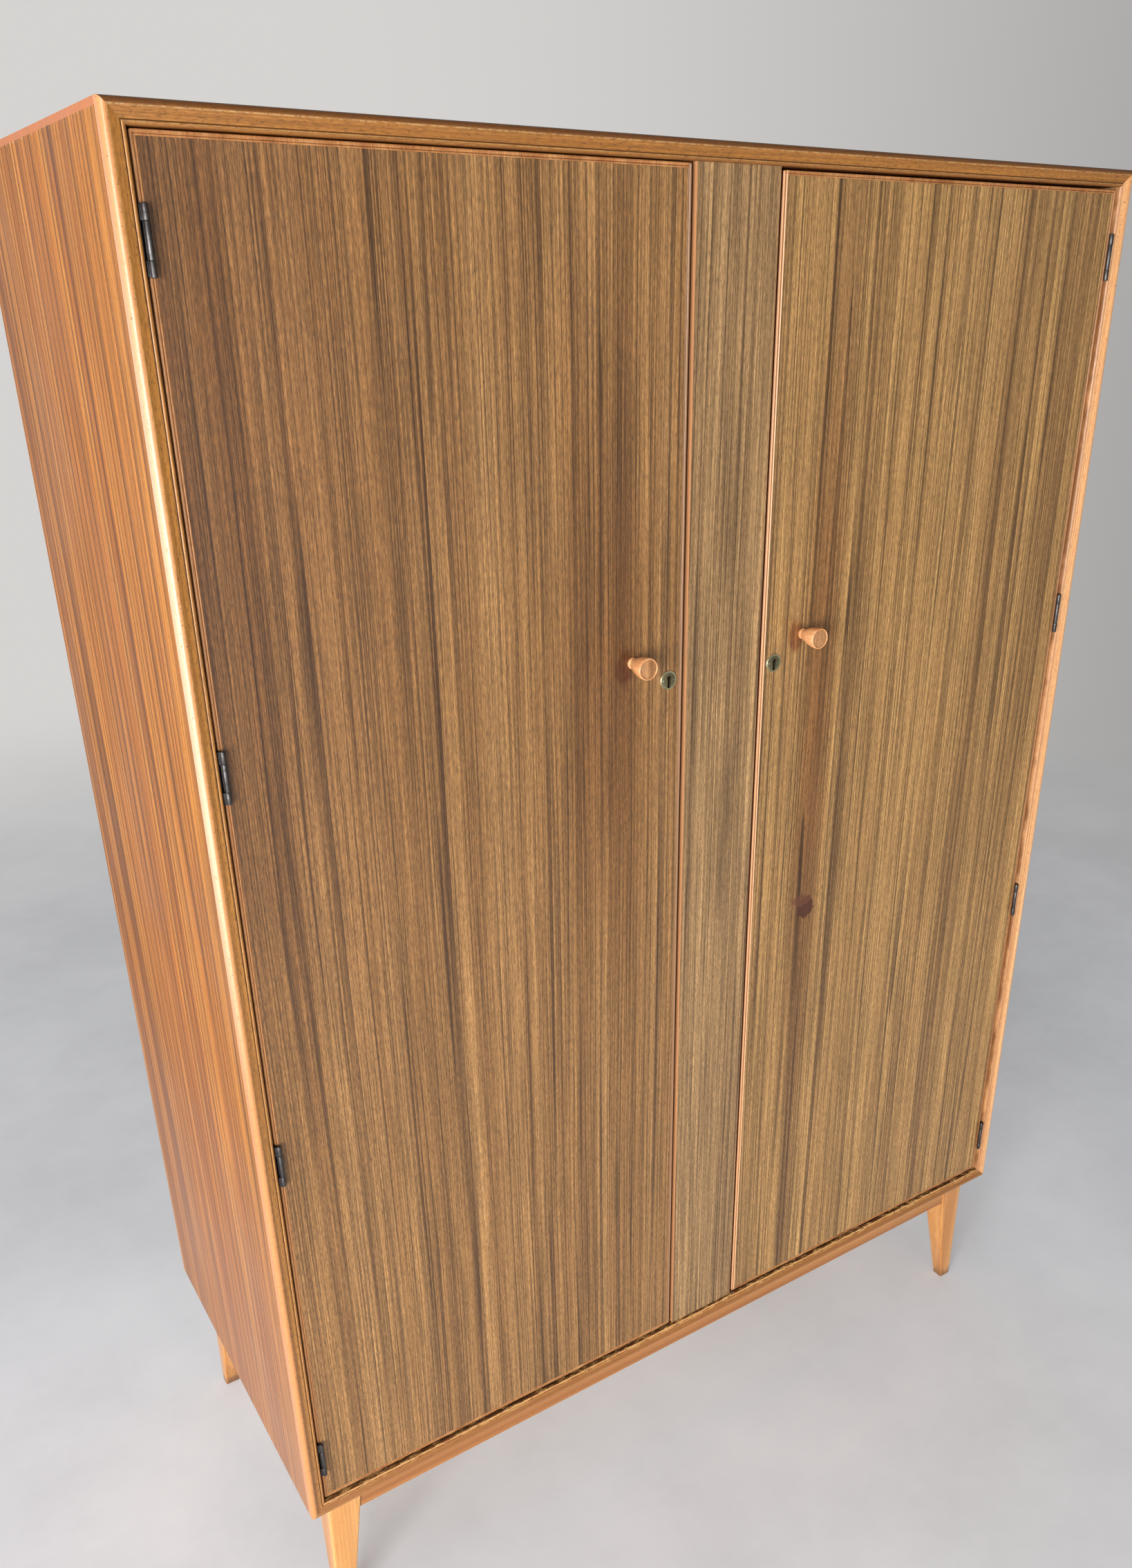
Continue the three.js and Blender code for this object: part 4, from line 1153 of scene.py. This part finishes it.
low, high = node_box("hanging_rail")
rail_middle = (low + high) / 2
rail_radius = (high.z - low.z) / 2
ALONG_X = turned(90, "Y")
rail = lathe([(rail_radius - RAIL_CHAMFER, low.x), (rail_radius, low.x + RAIL_CHAMFER),
              (rail_radius, high.x - RAIL_CHAMFER), (rail_radius - RAIL_CHAMFER, high.x)], 64)
lift = Matrix.Translation((0, rail_middle.y, rail_middle.z))
add_piece("turned_rail", Shape().merge(rail, lift @ ALONG_X), "carcass", "rail",
          ["hanging_rail"])
for hand, side in SIDES.items():
    low, high = node_box(f"rail_socket_{hand}")
    wall = low.x if side < 0 else high.x
    rim = (high.z - low.z) / 2
    bore = rail_radius + SOCKET_ROOM
    length = high.x - low.x
    profile = [(bore, 2.5), (bore, length - 0.6), (bore + 0.6, length)]
    curve(profile, (rim - 3, length), (rim - 1.2, length - 2), (rim - 1, 5), 8)
    curve(profile, (rim - 0.9, 4), (rim, 3.6), (rim, 2.4), 4)
    profile.append((rim, 0))
    cup = Shape().merge(lathe(profile, 64), Matrix.Translation((wall, rail_middle.y, rail_middle.z))
                        @ Matrix.Scale(-side, 4, (1, 0, 0)) @ ALONG_X)
    add_piece(f"turned_socket_{hand}", cup, "carcass", "socket",
              [f"rail_socket_{hand}"])

# ---- back panel nails ----


def nail_row(low, high, corner):
    """Evenly spaced nails between two edges, keeping this far from both."""
    count = round((high - low) / NAIL_PITCH)
    return [low + corner + (high - low - 2 * corner) * k / count for k in range(count + 1)]


low, high = node_box("back_panel")
edges = [(low.z + NAIL_INSET, high.z - NAIL_INSET), (low.x + NAIL_INSET, high.x - NAIL_INSET)]
nail_places = [(x, z) for z in edges[0] for x in nail_row(low.x, high.x, 12)]
nail_places += [(x, z) for x in edges[1] for z in nail_row(low.z, high.z, 80)]
nail = lathe([(0.01, 0.4), (1.6, 0.32), (2.6, 0.1), (2.7, -0.3)], 20)
nails = Shape()
for x, z in nail_places:
    nails.merge(nail, Matrix.Translation((x, high.y, z)) @ turned(-90, "X"))
add_piece("back_panel_nails", nails, "carcass", "steel")

# ---- floor, light and camera, metres and radians ----

FLOOR_SIZE = 60
FLOOR_NEAR = 1.6
FLOOR_FAR = 4.5
FLOOR_GLOW = 0.15
FLOOR_DARK = (217, 220, 225)
FLOOR_LIGHT = (238, 241, 246)
# Each light's place, target, size and power.
LIGHTS = {
    "window_light": ((-3.6, -1.2, 1), (0, 0.1, 0.8), (2.2, 1.7), 34),
    "main_light": ((-3.4, -2.9, 1.2), (0.2, 0, 0.8), (2.2, 1.8), 194),
    "front_light": ((-0.9, -4.4, 0.8), (0.3, 0, 0.7), (2.6, 1.2), 38),
}
AIR_TINT = (0.93, 0.905, 0.885, 1)
CAMERA_PLACE = (-0.8952, -1.37175, 1.6144)
CAMERA_YAW = -0.5935
CAMERA_PITCH = 1.1312
CAMERA_ROLL = 0.0036
CAMERA_LENS = 28.98
CAMERA_SHIFT = (-0.0338, 0.0632)


def floor_material():
    """Pale, faintly clouded, and fading into the background away from the middle."""
    s = Shader("floor")
    place = s.place()
    cloud = s.noise(place, (1.6, 1.6, 1.6), detail=6, roughness=0.65)
    tone = s.ramp(cloud, [(0.3, colour(FLOOR_DARK)), (0.7, colour(FLOOR_LIGHT))])
    s.feed(s.surface.inputs["Emission Color"], tone)
    s.feed(s.surface.inputs["Emission Strength"], FLOOR_GLOW)
    away = s.node("VectorMath", {0: place}, operation="LENGTH").outputs["Value"]
    s.feed(s.surface.inputs["Alpha"], s.span(away, FLOOR_NEAR, FLOOR_FAR, 1, 0))
    return s.finish(base=tone, rough=0.85, specular=0.2)


def studio_world():
    """Pale behind and to the left, dim in front on the right and overhead."""
    world = bpy.data.worlds.new("studio")
    world.use_nodes = True
    s = Nodes(world.node_tree)
    way = s.axes(s.node("TexCoord", {}).outputs["Generated"])
    behind = s.minus(s.times(way["y"], 0.6), s.times(way["x"], 0.6))
    level = s.span(behind, -0.5, 0.35, 0.26, 0.72)
    level = s.times(level, s.span(way["z"], 0.25, 0.9, 1, 0.45))
    background = s.tree.nodes["Background"]
    s.feed(background.inputs["Color"], s.mix(1, AIR_TINT, level, "MULTIPLY"))
    s.feed(background.inputs["Strength"], 1)
    return world


half = FLOOR_SIZE / 2
floor_mesh = bpy.data.meshes.new("floor")
floor_mesh.from_pydata([(-half, -half, 0), (half, -half, 0), (half, half, 0), (-half, half, 0)], [],
                       [(0, 1, 2, 3)])
floor_mesh.materials.append(floor_material())
new_object("floor", floor_mesh)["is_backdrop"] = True

for name, (place, target, size, power) in LIGHTS.items():
    light = bpy.data.lights.new(name, "AREA")
    light.shape = "RECTANGLE"
    light.size, light.size_y = size
    light.energy = power
    lamp = new_object(name, light)
    lamp.location = place
    lamp.rotation_euler = (Vector(target) - Vector(place)).to_track_quat("-Z", "Y").to_euler()
bpy.context.scene.world = studio_world()
bpy.context.scene.view_settings.view_transform = "Standard"

camera_data = bpy.data.cameras.new("camera")
camera_data.lens = CAMERA_LENS
camera_data.sensor_width = 36
camera_data.shift_x, camera_data.shift_y = CAMERA_SHIFT
camera = new_object("camera", camera_data)
camera.matrix_world = (Matrix.Translation(CAMERA_PLACE) @ Matrix.Rotation(CAMERA_YAW, 4, "Z")
                       @ Matrix.Rotation(CAMERA_PITCH, 4, "X") @ Matrix.Rotation(CAMERA_ROLL, 4, "Y"))
bpy.context.scene.camera = camera

# ---- finish ----

sizes = {"cad": cad_bounds, "visual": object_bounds()}
{key: [list(corner) for corner in corners] for key, corners in sizes.items()}
